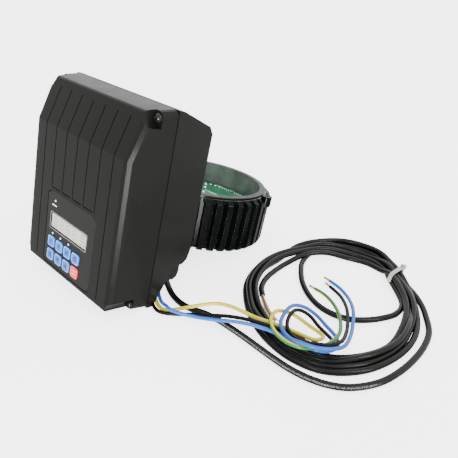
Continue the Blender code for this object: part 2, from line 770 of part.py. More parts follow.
def make_can():
    """The cast can with its fins, saddle, ears and board pillars."""
    can = turned("heatsink_can", can_blank_profile(), (0, CAN_Y, 0), CAN_BLACK,
                 sides=FIN_COUNT)
    middle = (FIN_TOP + CAN_BOTTOM) / 2
    teeth = extruded("fin_teeth", [fin_outline()], (FIN_TOP - CAN_BOTTOM) / 2 + 0.004,
                     centre=(0, CAN_Y, middle - 0.004), cutter=True)
    rim = cylinder("rim_blank", (0, CAN_Y, CAN_TOP - 0.002), RIM_OUTER + 0.001, 0.012,
                   sides=FIN_COUNT, cutter=True)
    fuse(teeth, rim)
    keep_inside(can, teeth)

    saddle = box("saddle_block", (-SADDLE_HALF, BOX_BACK + SADDLE_GAP, SADDLE_Z[0]),
                 (SADDLE_HALF, CAN_Y - 0.0500, SADDLE_Z[1]), cutter=True)
    round_edges(saddle, 0.0030, 2)
    fuse(can, saddle)
    for index, angle in enumerate(EAR_ANGLES, 1):
        x, y = EAR_REACH * cos(angle), CAN_Y + EAR_REACH * sin(angle)
        ear = cylinder(f"ear_{index}", (x, y, CAN_TOP - 0.0070), 0.0062, 0.0120, sides=20,
                       cutter=True)
        fuse(can, ear)
    bore = cylinder("can_bore", (0, CAN_Y, CAN_FLOOR + 0.05), CAN_INNER, 0.10, sides=60,
                    cutter=True)
    pillars = [cylinder(f"board_pillar_{i}", (x, y, CAN_FLOOR), 0.0045,
                        2 * (POWER_BOARD_Z - GAP - CAN_FLOOR), sides=14, cutter=True)
               for i, (x, y) in enumerate(board_pillars(), 1)]
    cut(bore, *pillars)
    cut(can, bore)
    for index, (x, y) in enumerate(board_pillars(), 1):
        cut(can, cylinder(f"pillar_hole_{index}", (x, y, POWER_BOARD_Z), 0.0015, 0.016,
                          sides=10, cutter=True))
    for index, angle in enumerate(EAR_ANGLES, 1):
        x, y = EAR_REACH * cos(angle), CAN_Y + EAR_REACH * sin(angle)
        cut(can, cylinder(f"ear_hole_{index}", (x, y, CAN_TOP), 0.0022, 0.05, sides=14,
                          cutter=True))
    for index, (x, z) in enumerate(saddle_bolts(), 1):
        cut(can, cylinder(f"saddle_thread_{index}", (x, BOX_BACK + 0.004, z), 0.0023, 0.018,
                          (0, 1, 0), sides=12, cutter=True))
    cut(can, cylinder("saddle_passage", (0, BOX_BACK + 0.008, 0.0700), 0.0085, 0.05,
                      (0, 1, 0), sides=20, cutter=True))
    return can


def board_pillars():
    return [(0.0590 * cos(radians(a)), CAN_Y + 0.0590 * sin(radians(a)))
            for a in (90, 210, 330)]


def make_saddle_joint():
    """Gasket and bolts between the housing's back and the can's saddle."""
    inner = [(x, z) for x, z in rounded_rectangle(-0.0400, 0.0400, 0.0540, 0.0970, 0.003, 2)]
    gasket_y = BOX_BACK + SADDLE_GAP / 2
    gasket = extruded("saddle_gasket", [inner], SADDLE_GAP / 2 - GAP, GASKET_BLACK,
                      view=FRONT_VIEW, centre=(0, gasket_y, 0))
    cut(gasket, cylinder("gasket_passage", (0, gasket_y, 0.0720), 0.0120, 0.01, (0, 1, 0),
                         sides=20, cutter=True))
    inner_wall = BOX_BACK - WALL - GAP
    for index, (x, z) in enumerate(saddle_bolts(), 1):
        cut(gasket, cylinder(f"gasket_hole_{index}", (x, gasket_y, z), 0.0026, 0.01,
                             (0, 1, 0), sides=12, cutter=True))
        bolt = cylinder(f"saddle_bolt_{index}", (x, inner_wall - 0.0016, z), 0.0042, 0.0032,
                        (0, 1, 0), STEEL, sides=6)
        shank = cylinder(f"bolt_shank_{index}", (x, inner_wall + 0.0055, z), 0.0020, 0.0130,
                         (0, 1, 0), sides=12, cutter=True)
        fuse(bolt, shank)


def make_power_board():
    middle = POWER_BOARD_Z + BOARD_THICK / 2
    board = cylinder("power_board", (0, CAN_Y, middle), POWER_BOARD_RADIUS, BOARD_THICK,
                     finish=BOARD_GREEN, sides=48)
    for index, (x, y) in enumerate(board_pillars(), 1):
        cut(board, cylinder(f"power_hole_{index}", (x, y, middle), 0.0017, 0.01, sides=12,
                            cutter=True))
        screw = cylinder(f"power_screw_{index}", (x, y, middle + 0.0020), 0.0030, 0.0018,
                         finish=STEEL, sides=12)
        shank = cylinder(f"power_shank_{index}", (x, y, middle - 0.0015), 0.0012, 0.0080,
                         sides=10, cutter=True)
        fuse(screw, shank)
    pad = box("thermal_pad", (-0.0300, CAN_Y - 0.0200, CAN_FLOOR + GAP),
              (0.0300, CAN_Y + 0.0200, CAN_FLOOR + 0.0012), PAD_GREY)
    round_edges(pad, 0.0002, 1)
    module = box("power_module", (-0.0280, CAN_Y - 0.0180, CAN_FLOOR + 0.0015),
                 (0.0280, CAN_Y + 0.0180, CAN_FLOOR + 0.0160), MODULE_GREY)
    round_edges(module, 0.0010, 1)
    for index, x in enumerate((-0.020, 0.020), 1):
        pins = box(f"module_pins_{index}", (x - 0.0040, CAN_Y - 0.0160, CAN_FLOOR + 0.0163),
                   (x + 0.0040, CAN_Y + 0.0160, POWER_BOARD_Z - GAP), BRASS)
        round_edges(pins, 0.0004, 1)


# ---------------------------------------------------------------- cable entries
def port_frame():
    """Centre of the lead port on the slanted underside, and the outward direction."""
    foot, corner = Vector((FOOT_Y, 0.0004)), Vector(FOOT_CHAMFER)
    along = (corner - foot).normalized()
    middle = foot + along * 0.0150
    return Vector((PORT_X, middle.x, middle.y)), Vector((0.0, along.y, -along.x))


def make_lead_port():
    """A moulded grommet that closes the port around the three leads."""
    centre, normal = port_frame()
    profile = [
        (0.0, 0.0050), (0.0070, 0.0050), (0.0084, 0.0034), (0.0084, GAP),
        (PORT_RADIUS, GAP), (PORT_RADIUS, -0.0040), (0.0, -0.0040),
    ]
    turned("lead_grommet", profile, centre, GLAND_BLACK, axis=normal, sides=24)


def make_gland():
    """The clamp block under the ledge, and the slanted bushing that lets the cable out."""
    profile = [
        (0.0720, 0.0250), (0.0750, GLAND_BOTTOM), (0.0850, GLAND_BOTTOM),
        (0.0895, GLAND_BOTTOM + 0.0030), (0.0912, 0.0290), (0.0912, LEDGE_Z + 0.0008),
        (0.0880, LEDGE_Z + 0.0010 - GAP), (LEDGE_Y + 0.0004, LEDGE_Z - GAP),
    ]
    block = extruded("gland_block", [profile], GLAND_HALF, GLAND_BLACK, view=SIDE_VIEW,
                     centre=(GLAND_X, 0, 0))
    round_edges(block, 0.0012, 2)
    axis = Vector(GLAND_AXIS).normalized()
    bushing_profile = [(0.0, 0.0), (0.0042, 0.0), (0.0050, -0.0020), (0.0050, -0.0070),
                       (0.0, -0.0070)]
    turned("gland_bushing", bushing_profile, GLAND_EXIT, GLAND_BLACK, axis=axis, sides=24)
    reach = 0.0150
    middle = Vector(GLAND_EXIT) + axis * (reach - 0.0070 - GAP)
    cut(block, cylinder("bushing_pocket", middle, 0.0050 + GAP, 2 * reach, axis, sides=24,
                        cutter=True))


# ---------------------------------------------------------------- loose cables on the bench
# Route points in the bench's frame, in the order the cable runs from the drive.
CABLE_ROUTE = [
    (0.0705, -0.061, 0.013), (0.076, -0.062, 0.0074), (0.0835, -0.064, 0.0041),
    (0.092, -0.066, 0.0034), (0.103, -0.0672, 0.0033), (0.116, -0.0655, 0.0033),
    (0.129, -0.0605, 0.0033), (0.144, -0.0572, 0.0033), (0.176, -0.056, 0.0033),
    (0.198, -0.0565, 0.0033), (0.218, -0.057, 0.0033), (0.238, -0.0565, 0.0033),
    (0.257, -0.053, 0.0033), (0.273, -0.0465, 0.0033), (0.286, -0.037, 0.0033),
    (0.297, -0.0225, 0.0033), (0.305, -0.005, 0.0033), (0.3095, 0.017, 0.0033),
    (0.311, 0.043, 0.0033), (0.309, 0.069, 0.0033), (0.3025, 0.0935, 0.0033),
    (0.2895, 0.1185, 0.0033), (0.273, 0.1375, 0.0033), (0.26, 0.145, 0.0033),
    (0.249, 0.1472, 0.0033),
]
INNER_ROUTE = [
    (0.1375, 0.0965, 0.0033), (0.1465, 0.0825, 0.0033), (0.1625, 0.064, 0.0033),
    (0.183, 0.049, 0.0033), (0.203, 0.0415, 0.0033), (0.222, 0.042, 0.0033),
    (0.238, 0.0495, 0.0033), (0.2505, 0.063, 0.0033), (0.2595, 0.079, 0.0033),
    (0.263, 0.092, 0.0033),
]
BLACK_ROUTE = [
    (0.0366, -0.0762, 0.0082), (0.0371, -0.0713, 0.0046), (0.04, -0.0668, 0.0025),
    (0.046, -0.0642, 0.0021), (0.054, -0.0663, 0.0021), (0.066, -0.074, 0.0021),
    (0.077, -0.082, 0.0021), (0.087, -0.087, 0.0021), (0.098, -0.0875, 0.0021),
    (0.108, -0.0825, 0.0022), (0.122, -0.075, 0.0045), (0.142, -0.062, 0.009),
    (0.16, -0.052, 0.013), (0.178, -0.0435, 0.0149), (0.194, -0.037, 0.0149),
    (0.208, -0.032, 0.0149), (0.222, -0.0285, 0.0149), (0.236, -0.0263, 0.0149),
    (0.2445, -0.024, 0.0149), (0.25, -0.0185, 0.0149), (0.251, -0.0113, 0.0146),
    (0.2475, -0.0045, 0.0132), (0.239, 0.0008, 0.011), (0.224, 0.007, 0.0095),
    (0.211, 0.0115, 0.011), (0.203, 0.009, 0.014), (0.1995, 0.0015, 0.0175),
    (0.2005, -0.008, 0.0192), (0.205, -0.02, 0.0192), (0.213, -0.03, 0.0192),
    (0.224, -0.0355, 0.0196), (0.236, -0.036, 0.0214), (0.247, -0.031, 0.0234),
    (0.2555, -0.021, 0.022), (0.258, -0.006, 0.0194), (0.2515, 0.014, 0.0148),
    (0.241, 0.034, 0.0115), (0.227, 0.0545, 0.009), (0.208, 0.0735, 0.0045),
    (0.196, 0.0805, 0.0024), (0.1877, 0.0835, 0.002),
]
BLUE_ROUTE = [
    (0.0274, -0.0762, 0.0082), (0.0278, -0.068, 0.0032), (0.031, -0.0585, 0.0021),
    (0.04, -0.0533, 0.0021), (0.054, -0.054, 0.0021), (0.068, -0.062, 0.0021),
    (0.079, -0.071, 0.003), (0.088, -0.0775, 0.005), (0.098, -0.0815, 0.0076),
    (0.108, -0.084, 0.0082), (0.119, -0.0815, 0.0074), (0.131, -0.075, 0.0072),
    (0.148, -0.0665, 0.0095), (0.165, -0.057, 0.0128), (0.183, -0.048, 0.0149),
    (0.198, -0.0415, 0.0149), (0.214, -0.0375, 0.0149), (0.229, -0.035, 0.0149),
    (0.243, -0.031, 0.0149), (0.254, -0.0235, 0.0149), (0.2575, -0.014, 0.0149),
    (0.2545, -0.005, 0.0142), (0.245, 0.0055, 0.011), (0.2285, 0.0135, 0.0095),
    (0.213, 0.0185, 0.0105), (0.201, 0.0165, 0.0135), (0.1935, 0.0085, 0.0165),
    (0.1935, -0.003, 0.0192), (0.1965, -0.015, 0.0192), (0.202, -0.027, 0.0192),
    (0.211, -0.0355, 0.0192), (0.223, -0.04, 0.02), (0.236, -0.0405, 0.0232),
    (0.2485, -0.036, 0.0234), (0.259, -0.025, 0.022), (0.263, -0.009, 0.0186),
    (0.257, 0.013, 0.0148), (0.247, 0.034, 0.0115), (0.2335, 0.057, 0.009),
    (0.2145, 0.0785, 0.004), (0.196, 0.0895, 0.0022), (0.1804, 0.093, 0.002),
]
EARTH_ROUTE = [
    (0.032, -0.0762, 0.0082), (0.0324, -0.0695, 0.0039), (0.0355, -0.0625, 0.0022),
    (0.043, -0.0588, 0.0021), (0.054, -0.0602, 0.0021), (0.066, -0.068, 0.0021),
    (0.077, -0.0765, 0.0021), (0.088, -0.082, 0.0021), (0.098, -0.0815, 0.0022),
    (0.107, -0.0775, 0.004), (0.117, -0.069, 0.008), (0.127, -0.059, 0.012),
    (0.137, -0.0495, 0.0145), (0.148, -0.044, 0.0155), (0.163, -0.0398, 0.0153),
    (0.178, -0.0365, 0.0149), (0.192, -0.0315, 0.0149), (0.206, -0.027, 0.0149),
    (0.22, -0.0235, 0.0149), (0.231, -0.021, 0.0149), (0.2365, -0.0193, 0.0149),
    (0.24, -0.0145, 0.0148), (0.24, -0.0088, 0.0139), (0.2363, -0.0046, 0.0126),
    (0.2295, -0.0024, 0.0112), (0.217, 0.0005, 0.0093), (0.206, 0.002, 0.0092),
    (0.1975, -0.001, 0.012), (0.1905, -0.008, 0.0155), (0.1885, -0.018, 0.0192),
    (0.192, -0.03, 0.0192), (0.201, -0.039, 0.0192), (0.213, -0.0445, 0.0192),
    (0.226, -0.0455, 0.0192), (0.237, -0.0415, 0.0191), (0.246, -0.033, 0.019),
    (0.251, -0.021, 0.0193), (0.252, -0.008, 0.0188), (0.248, 0.007, 0.016),
    (0.2395, 0.023, 0.0125), (0.226, 0.04, 0.0098), (0.206, 0.0575, 0.005),
    (0.19, 0.0655, 0.0023), (0.1789, 0.0666, 0.002),
]
CORES_ROUTE = [
    (0.1595, 0.004, 0.002), (0.169, -0.003, 0.002), (0.1795, -0.009, 0.002),
    (0.191, -0.0125, 0.002),
]
COIL_OUTER = [
    (0.141, -0.012), (0.124, 0.012), (0.112, 0.041), (0.1065, 0.074), (0.108, 0.112),
    (0.118, 0.147), (0.139, 0.178), (0.163, 0.1935), (0.19, 0.193), (0.22, 0.1775),
    (0.25, 0.1495), (0.277, 0.1185), (0.296, 0.085), (0.302, 0.052), (0.298, 0.02),
    (0.285, -0.014), (0.266, -0.036), (0.243, -0.0465), (0.216, -0.0485), (0.19, -0.042),
    (0.165, -0.0305),
]
COIL_INNER = [
    (0.155, 0.0035), (0.139, 0.027), (0.1315, 0.052), (0.1305, 0.082), (0.138, 0.112),
    (0.154, 0.1325), (0.174, 0.1475), (0.198, 0.154), (0.22, 0.1515), (0.239, 0.1375),
    (0.256, 0.116), (0.271, 0.086), (0.28, 0.061), (0.281, 0.038), (0.274, 0.016),
    (0.2625, -0.002), (0.247, -0.014), (0.228, -0.02), (0.204, -0.0205), (0.179, -0.014),
]


def between(a, b, ta, tb, t):
    return (a * (tb - t) + b * (t - ta)) / (tb - ta)


def smooth_curve(points, closed=False):
    """A dense smooth curve through the points, with even tension between them."""
    points = [Vector(p) for p in points]
    count = len(points)
    if closed:
        padded = [points[(i - 1) % count] for i in range(count + 3)]
    else:
        padded = [2 * points[0] - points[1], *points, 2 * points[-1] - points[-2]]
    curve = []
    for a, b, c, d in zip(padded, padded[1:], padded[2:], padded[3:]):
        tb = (b - a).length ** 0.5
        tc = tb + (c - b).length ** 0.5
        td = tc + (d - c).length ** 0.5
        steps = max(2, int((c - b).length / 0.0005))
        for i in range(steps):
            t = tb + (tc - tb) * i / steps
            ab, bc, cd = (between(a, b, 0, tb, t), between(b, c, tb, tc, t),
                          between(c, d, tc, td, t))
            curve.append(between(between(ab, bc, 0, tc, t), between(bc, cd, tb, td, t),
                                 tb, tc, t))
    if not closed:
        curve.append(points[-1])
    return curve


def evenly_spaced(curve, spacing):
    """Points along a dense curve at one spacing, first and last included."""
    reach = [0.0]
    for a, b in zip(curve, curve[1:]):
        reach.append(reach[-1] + (b - a).length)
    count = max(2, round(reach[-1] / spacing))
    chosen = []
    index = 0
    for step in range(count + 1):
        wanted = reach[-1] * step / count
        while index < len(curve) - 2 and reach[index + 1] < wanted:
            index += 1
        chosen.append(between(curve[index], curve[index + 1], reach[index], reach[index + 1],
                              wanted))
    return chosen


def tube(name, route, diameter, finish, spacing, resolution=2):
    """A cable of one diameter along a route, its ends closed flat."""
    path = evenly_spaced(smooth_curve(route), spacing)
    curve = bpy.data.curves.new(name, "CURVE")
    curve.dimensions = "3D"
    curve.bevel_depth = diameter / 2
    curve.bevel_resolution = resolution
    curve.use_fill_caps = True
    spline = curve.splines.new("POLY")
    spline.points.add(len(path) - 1)
    for point, place in zip(spline.points, path):
        point.co = (*place, 1.0)
    carrier = bpy.data.objects.new(name + "_curve", curve)
    bpy.context.scene.collection.objects.link(carrier)
    bpy.context.view_layer.update()
    graph = bpy.context.evaluated_depsgraph_get()
    mesh = bpy.data.meshes.new_from_object(carrier.evaluated_get(graph))
    bpy.data.objects.remove(carrier)
    shape = bmesh.new()
    shape.from_mesh(mesh)
    bmesh.ops.remove_doubles(shape, verts=shape.verts, dist=0.000005)
    bmesh.ops.recalc_face_normals(shape, faces=shape.faces)
    shape.to_mesh(mesh)
    shape.free()
    mesh.materials.clear()
    return add_object(name, mesh, finish, parent=None)


def make_loose_cables():
    tube("communication_cable", CABLE_ROUTE, CABLE_DIAMETER, CABLE_BLACK, 0.0105)
    tube("cable_inner_run", INNER_ROUTE, CABLE_DIAMETER, CABLE_BLACK, 0.0160)
    tube("cable_cores", CORES_ROUTE, CORES_DIAMETER, CORE_WHITE, 0.0070)
    tube("lead_blue", BLUE_ROUTE, LEAD_DIAMETER, LEAD_BLUE, 0.0080)
    tube("lead_black", BLACK_ROUTE, LEAD_DIAMETER, LEAD_BLACK, 0.0075)
    tube("lead_earth", EARTH_ROUTE, LEAD_DIAMETER, LEAD_EARTH, 0.0075)


def closed_outline(points, spacing):
    """A smooth closed outline through the points, thinned to one spacing."""
    curve = smooth_curve([(x, y, 0.0) for x, y in points], closed=True)
    even = evenly_spaced(curve + curve[:1], spacing)
    return [(place.x, place.y) for place in even[:-1]]


def tie_placed(item):
    """Turns a piece drawn across the bundle into place on the coil."""
    item.rotation_euler = (0, 0, atan2(TIE_DIRECTION[1], TIE_DIRECTION[0]) - pi / 2)
    item.location = (*TIE_CENTRE, TIE_MIDDLE)
    return item


TIE_MIDDLE = TIE_THICK + 2 * GAP + TIE_WAIST[1]


def tie_ring(name, inner, outer, half, finish=None, **options):
    """A band round the bundle: an outline with a hole, extruded along the bundle."""
    loops = [rounded_rectangle(-TIE_WAIST[0] - g, TIE_WAIST[0] + g, -TIE_WAIST[1] - g,
                               TIE_WAIST[1] + g, 0.0040, 3) for g in (outer, inner)]
    return tie_placed(extruded(name, loops, half, finish, view=FRONT_VIEW, parent=None,
                               **options))


def make_coil():
    """The coiled cable as the closed shape around all its turns."""
    loops = [closed_outline(COIL_OUTER, 0.0125), closed_outline(COIL_INNER, 0.0125)]
    coil = extruded("cable_coil", loops, COIL_HEIGHT / 2, CABLE_BLACK,
                    centre=(0, 0, COIL_HEIGHT / 2), parent=None)
    round_edges(coil, 0.0030, 1, 60)
    cut(coil, tie_ring("tie_groove", 0.0, 0.0200, TIE_WIDTH / 2 + GAP, cutter=True))
    end, before = Vector(CABLE_ROUTE[-1]), Vector(CABLE_ROUTE[-2])
    along = (end - before).normalized()
    cut(coil, cylinder("cable_pocket", end - along * 0.0060, CABLE_DIAMETER / 2 + GAP,
                       2 * (0.0060 + GAP), along, sides=16, parent=None, cutter=True))


def make_tie():
    band = tie_ring("cable_tie", GAP, TIE_THICK + GAP, TIE_WIDTH / 2, TIE_WHITE)
    side = TIE_WAIST[0] + TIE_THICK + GAP
    head = box("tie_head", (-side - 0.0044, -0.0028, -0.0030), (0.0006 - side, 0.0028, 0.0030),
               parent=None, cutter=True)
    tail = box("tie_tail", (-side - 0.0130, -0.0018, 0.0005), (-side - 0.0010, 0.0018, 0.0017),
               parent=None, cutter=True)
    for piece in (head, tail):
        offset = piece.location.copy()
        tie_placed(piece)
        piece.location = piece.location + offset_in_tie(offset)
    fuse(band, head, tail)


def offset_in_tie(offset):
    turn = Matrix.Rotation(atan2(TIE_DIRECTION[1], TIE_DIRECTION[0]) - pi / 2, 3, "Z")
    return turn @ offset


def settle_on_bench():
    """Leans the drive back and sets its footprint's centre on the bench's origin."""
    POSE.rotation_euler = (-LEAN, 0, 0)
    bpy.context.view_layer.update()
    graph = bpy.context.evaluated_depsgraph_get()
    low = Vector((1.0, 1.0, 1.0))
    high = -low
    for item in PARTS.objects:
        if item.type == "EMPTY":
            continue
        shown = item.evaluated_get(graph)
        mesh = shown.to_mesh()
        for vertex in mesh.vertices:
            place = shown.matrix_world @ vertex.co
            low = Vector(map(min, low, place))
            high = Vector(map(max, high, place))
        shown.to_mesh_clear()
    POSE.location = (0.0, -(low.y + high.y) / 2, -low.z)


# ---------------------------------------------------------------- assembly
make_front_cover()
make_rear_housing()
make_gasket()
make_cover_screws()
make_keypad()
make_front_board()
make_ribbon()
make_control_board()
make_can()
make_saddle_joint()
make_power_board()
make_lead_port()
make_gland()
settle_on_bench()
make_coil()
make_tie()
make_loose_cables()
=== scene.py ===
"""Looks of the variable frequency drive: materials, rounded edges, markings and cords."""

from math import cos, pi, radians, sin

import bmesh
import bpy
from mathutils import Matrix, Vector


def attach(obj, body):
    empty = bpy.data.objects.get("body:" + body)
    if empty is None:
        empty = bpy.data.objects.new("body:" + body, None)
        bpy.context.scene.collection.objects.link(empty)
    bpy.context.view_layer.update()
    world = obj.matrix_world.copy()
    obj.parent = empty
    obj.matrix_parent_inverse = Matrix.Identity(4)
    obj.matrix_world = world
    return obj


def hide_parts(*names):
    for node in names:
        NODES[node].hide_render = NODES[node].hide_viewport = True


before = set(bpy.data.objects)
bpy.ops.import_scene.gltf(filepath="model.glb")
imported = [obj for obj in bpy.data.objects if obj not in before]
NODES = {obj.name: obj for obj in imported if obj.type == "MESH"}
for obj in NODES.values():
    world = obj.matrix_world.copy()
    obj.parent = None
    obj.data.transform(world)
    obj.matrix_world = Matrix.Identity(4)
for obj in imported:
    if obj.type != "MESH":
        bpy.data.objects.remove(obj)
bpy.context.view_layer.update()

# ---------------------------------------------------------------- the drive's own frame
# X to the right, Y towards the back, Z up from the box's bottom edge, leaning on the bench.
LEAN = 0.190337  # radians
DRIVE = Matrix.Translation((0.0, -0.142719, 0.009704)) @ Matrix.Rotation(-LEAN, 4, "X")
MM = 0.001
CAN_Y = 0.1848  # the can's axis
BOARD_TOP = 0.0798  # the power board's upper face

# ---------------------------------------------------------------- camera
CAMERA_AT = (0.4238, -0.3621, 0.3380)
CAMERA_RIGHT = (0.7165, 0.6937, 0.0731)
CAMERA_UP = (-0.3847, 0.3056, 0.8710)
CAMERA_BACK = (0.5819, -0.6522, 0.4857)
LENS = 40.72  # mm, on a 36 mm sensor


def make_camera():
    lens = bpy.data.cameras.new("camera")
    lens.lens = LENS
    lens.sensor_width = 36.0
    lens.clip_start = 0.01
    lens.clip_end = 50.0
    camera = bpy.data.objects.new("camera", lens)
    turn = Matrix((CAMERA_RIGHT, CAMERA_UP, CAMERA_BACK)).transposed().to_4x4()
    camera.matrix_world = Matrix.Translation(CAMERA_AT) @ turn
    bpy.context.scene.collection.objects.link(camera)
    bpy.context.scene.camera = camera


make_camera()


# ---------------------------------------------------------------- materials
def fill(node, values):
    for socket, value in values.items():
        node.inputs[socket].default_value = value


class Tree:
    """A material's node tree with short ways to add and join nodes."""

    def __init__(self, name):
        self.material = bpy.data.materials.new(name)
        self.material.use_nodes = True
        self.nodes = self.material.node_tree.nodes
        self.links = self.material.node_tree.links
        self.shader = self.nodes["Principled BSDF"]
        self.place = self.add("ShaderNodeTexCoord").outputs["Object"]

    def add(self, kind, values=None, **settings):
        made = self.nodes.new(kind)
        for key, value in settings.items():
            setattr(made, key, value)
        fill(made, values or {})
        return made

    def join(self, source, target):
        self.links.new(source, target)

    def stretched(self, scale):
        made = self.add("ShaderNodeMapping", {"Scale": scale})
        self.join(self.place, made.inputs["Vector"])
        return made.outputs["Vector"]

    def noise(self, scale, detail=2.0, rough=0.5, source=None):
        made = self.add("ShaderNodeTexNoise",
                        {"Scale": scale, "Detail": detail, "Roughness": rough})
        self.join(source or self.place, made.inputs["Vector"])
        return made.outputs["Fac"]

    def steps(self, source, low, high, out_low=0.0, out_high=1.0):
        made = self.add("ShaderNodeMapRange", {"From Min": low, "From Max": high,
                                               "To Min": out_low, "To Max": out_high})
        self.join(source, made.inputs["Value"])
        return made.outputs["Result"]

    def calc(self, operation, a, b):
        made = self.add("ShaderNodeMath", operation=operation)
        for socket, value in zip(made.inputs, (a, b)):
            if isinstance(value, (int, float)):
                socket.default_value = value
            else:
                self.join(value, socket)
        return made.outputs[0]

    def mix(self, share, a, b):
        made = self.add("ShaderNodeMix", data_type="RGBA")
        self.join(share, made.inputs["Factor"])
        for index, value in ((6, a), (7, b)):
            if isinstance(value, tuple):
                made.inputs[index].default_value = (*value, 1.0)
            else:
                self.join(value, made.inputs[index])
        return made.outputs[2]

    def cover(self, share, rgb):
        """Lays another colour over the base colour."""
        base = self.shader.inputs["Base Color"]
        self.join(self.mix(share, base.links[0].from_socket, rgb), base)

    def bump(self, height, distance, strength=1.0):
        made = self.add("ShaderNodeBump", {"Strength": strength, "Distance": distance})
        self.join(height, made.inputs["Height"])
        if self.shader.inputs["Normal"].is_linked:
            self.join(self.shader.inputs["Normal"].links[0].from_socket, made.inputs["Normal"])
        self.join(made.outputs["Normal"], self.shader.inputs["Normal"])


def shaded(rgb, factor):
    return tuple(min(1.0, channel * factor) for channel in rgb)


def surface(name, rgb, rough, metallic=0.0, spread=0.10, blotch=25.0, grain=1500.0,
            depth=0.00002, rough_spread=0.06, coat=0.0, coat_rough=0.1, specular=0.5,
            bumps=()):
    """A solid material: colour mottling, uneven roughness, and a fine grain or the bumps.

    Each bump is its noise's scale and detail, then the bump's distance and strength.
    """
    tree = Tree(name)
    patches = tree.steps(tree.noise(blotch, 3.0), 0.3, 0.7)
    tree.join(tree.mix(patches, shaded(rgb, 1 - spread), shaded(rgb, 1 + spread)),
              tree.shader.inputs["Base Color"])
    uneven = tree.noise(blotch * 3.1, 4.0, 0.6)
    tree.join(tree.steps(uneven, 0.3, 0.7, rough - rough_spread, rough + rough_spread),
              tree.shader.inputs["Roughness"])
    fill(tree.shader, {"Metallic": metallic, "Specular IOR Level": specular,
                       "Coat Weight": coat, "Coat Roughness": coat_rough})
    if depth and not bumps:
        tree.bump(tree.noise(grain, 2.0), depth)
    for scale, detail, distance, strength in bumps:
        tree.bump(tree.noise(scale, detail), distance, strength)
    return tree


def plain(*looks, **more):
    """The material of a surface that needs nothing further."""
    return surface(*looks, **more).material


def ink(name, rgb, rough=0.45, spread=0.05):
    return plain(name, rgb, rough, spread=spread, blotch=300.0, grain=1800.0)


def cast_metal_material():
    """Bare casting inside the can: grey, cloudy, with fine turning lines."""
    tree = surface("can_bare_metal", (0.25, 0.285, 0.26), 0.42, metallic=0.75, spread=0.30,
                   blotch=45.0, rough_spread=0.12, bumps=((700.0, 4.0, 0.00005, 0.6),))
    tree.bump(tree.noise(60.0, 1.0, source=tree.stretched((1.0, 1.0, 28.0))), 0.00003, 0.5)
    return tree.material


def board_material():
    """Solder mask with paler copper tracks under it."""
    tree = Tree("drive_board")
    bricks = tree.add("ShaderNodeTexBrick",
                      {"Scale": 130.0, "Mortar Size": 0.045, "Mortar Smooth": 0.3,
                       "Brick Width": 0.9, "Row Height": 0.42})
    tree.join(tree.place, bricks.inputs["Vector"])
    patch = tree.steps(tree.noise(55.0, 2.0), 0.46, 0.52)
    tracks = tree.calc("MULTIPLY", bricks.outputs["Fac"], patch)
    mask = tree.mix(tree.steps(tree.noise(28.0, 2.0), 0.35, 0.65), (0.004, 0.095, 0.038),
                    (0.006, 0.135, 0.058))
    tree.join(tree.mix(tracks, mask, (0.030, 0.270, 0.130)), tree.shader.inputs["Base Color"])
    tree.join(tree.steps(tree.noise(80.0, 2.0), 0.3, 0.7, 0.26, 0.40),
              tree.shader.inputs["Roughness"])
    tree.bump(tracks, 0.00004)
    return tree.material


def key_material(name, rgb):
    """Silicone key: matte, a little paler where the surface is rubbed."""
    tree = surface(name, rgb, 0.46, spread=0.07, blotch=160.0, grain=2200.0, depth=0.000015)
    fill(tree.shader, {"Subsurface Weight": 0.05,
                       "Subsurface Radius": (0.001, 0.001, 0.002)})
    return tree.material


def display_material():
    """A reflective liquid crystal display under its clear pane."""
    tree = Tree("display_pane")
    grain = tree.noise(1300.0, 1.0)
    cloud = tree.noise(45.0, 2.0)
    base = tree.mix(tree.steps(cloud, 0.35, 0.65), (0.36, 0.36, 0.30), (0.44, 0.44, 0.38))
    tree.join(tree.mix(tree.steps(grain, 0.4, 0.6, 0.0, 0.35), base, (0.50, 0.50, 0.44)),
              tree.shader.inputs["Base Color"])
    fill(tree.shader, {"Roughness": 0.38, "Coat Weight": 0.5, "Coat Roughness": 0.06})
    return tree.material


def tube_place(tree):
    """Turn around the tube (0 to 1) and metres along it, from the tube's own map."""
    split = tree.add("ShaderNodeSeparateXYZ")
    source = tree.add("ShaderNodeUVMap", uv_map="tube")
    tree.join(source.outputs["UV"], split.inputs[0])
    return split.outputs["X"], split.outputs["Y"]


def jacket_material():
    """Black cable jacket with a dull sheen and a faint row of rubbed print dashes."""
    tree = surface("cable_jacket", (0.0050, 0.0050, 0.0045), 0.24, spread=0.16, blotch=70.0,
                   rough_spread=0.03, specular=0.20, bumps=((500.0, 1.0, 0.000008, 0.15),))
    turn, along = tube_place(tree)
    off_row = tree.calc("ABSOLUTE", tree.calc("SUBTRACT", turn, 0.30), 0.0)
    row = tree.steps(off_row, 0.045, 0.035)
    lines = tree.add("ShaderNodeCombineXYZ")
    tree.join(tree.calc("MULTIPLY", turn, 40.0), lines.inputs["X"])
    tree.join(tree.calc("MULTIPLY", along, 900.0), lines.inputs["Y"])
    dashes = tree.steps(tree.noise(1.0, 1.0, source=lines.outputs[0]), 0.50, 0.56)
    near = tree.calc("MULTIPLY", tree.steps(along, 0.075, 0.085),
                     tree.steps(along, 0.26, 0.25))
    print_share = tree.calc("MULTIPLY", tree.calc("MULTIPLY", row, dashes), near)
    tree.cover(tree.calc("MULTIPLY", print_share, 0.55), (0.42, 0.42, 0.40))
    return tree.material


def insulation(name, rgb, specular=0.4, coat=0.1):
    return surface(name, rgb, 0.33, spread=0.08, blotch=90.0, rough_spread=0.05, coat=coat,
                   coat_rough=0.2, specular=specular, bumps=((600.0, 2.0, 0.00002, 0.5),))


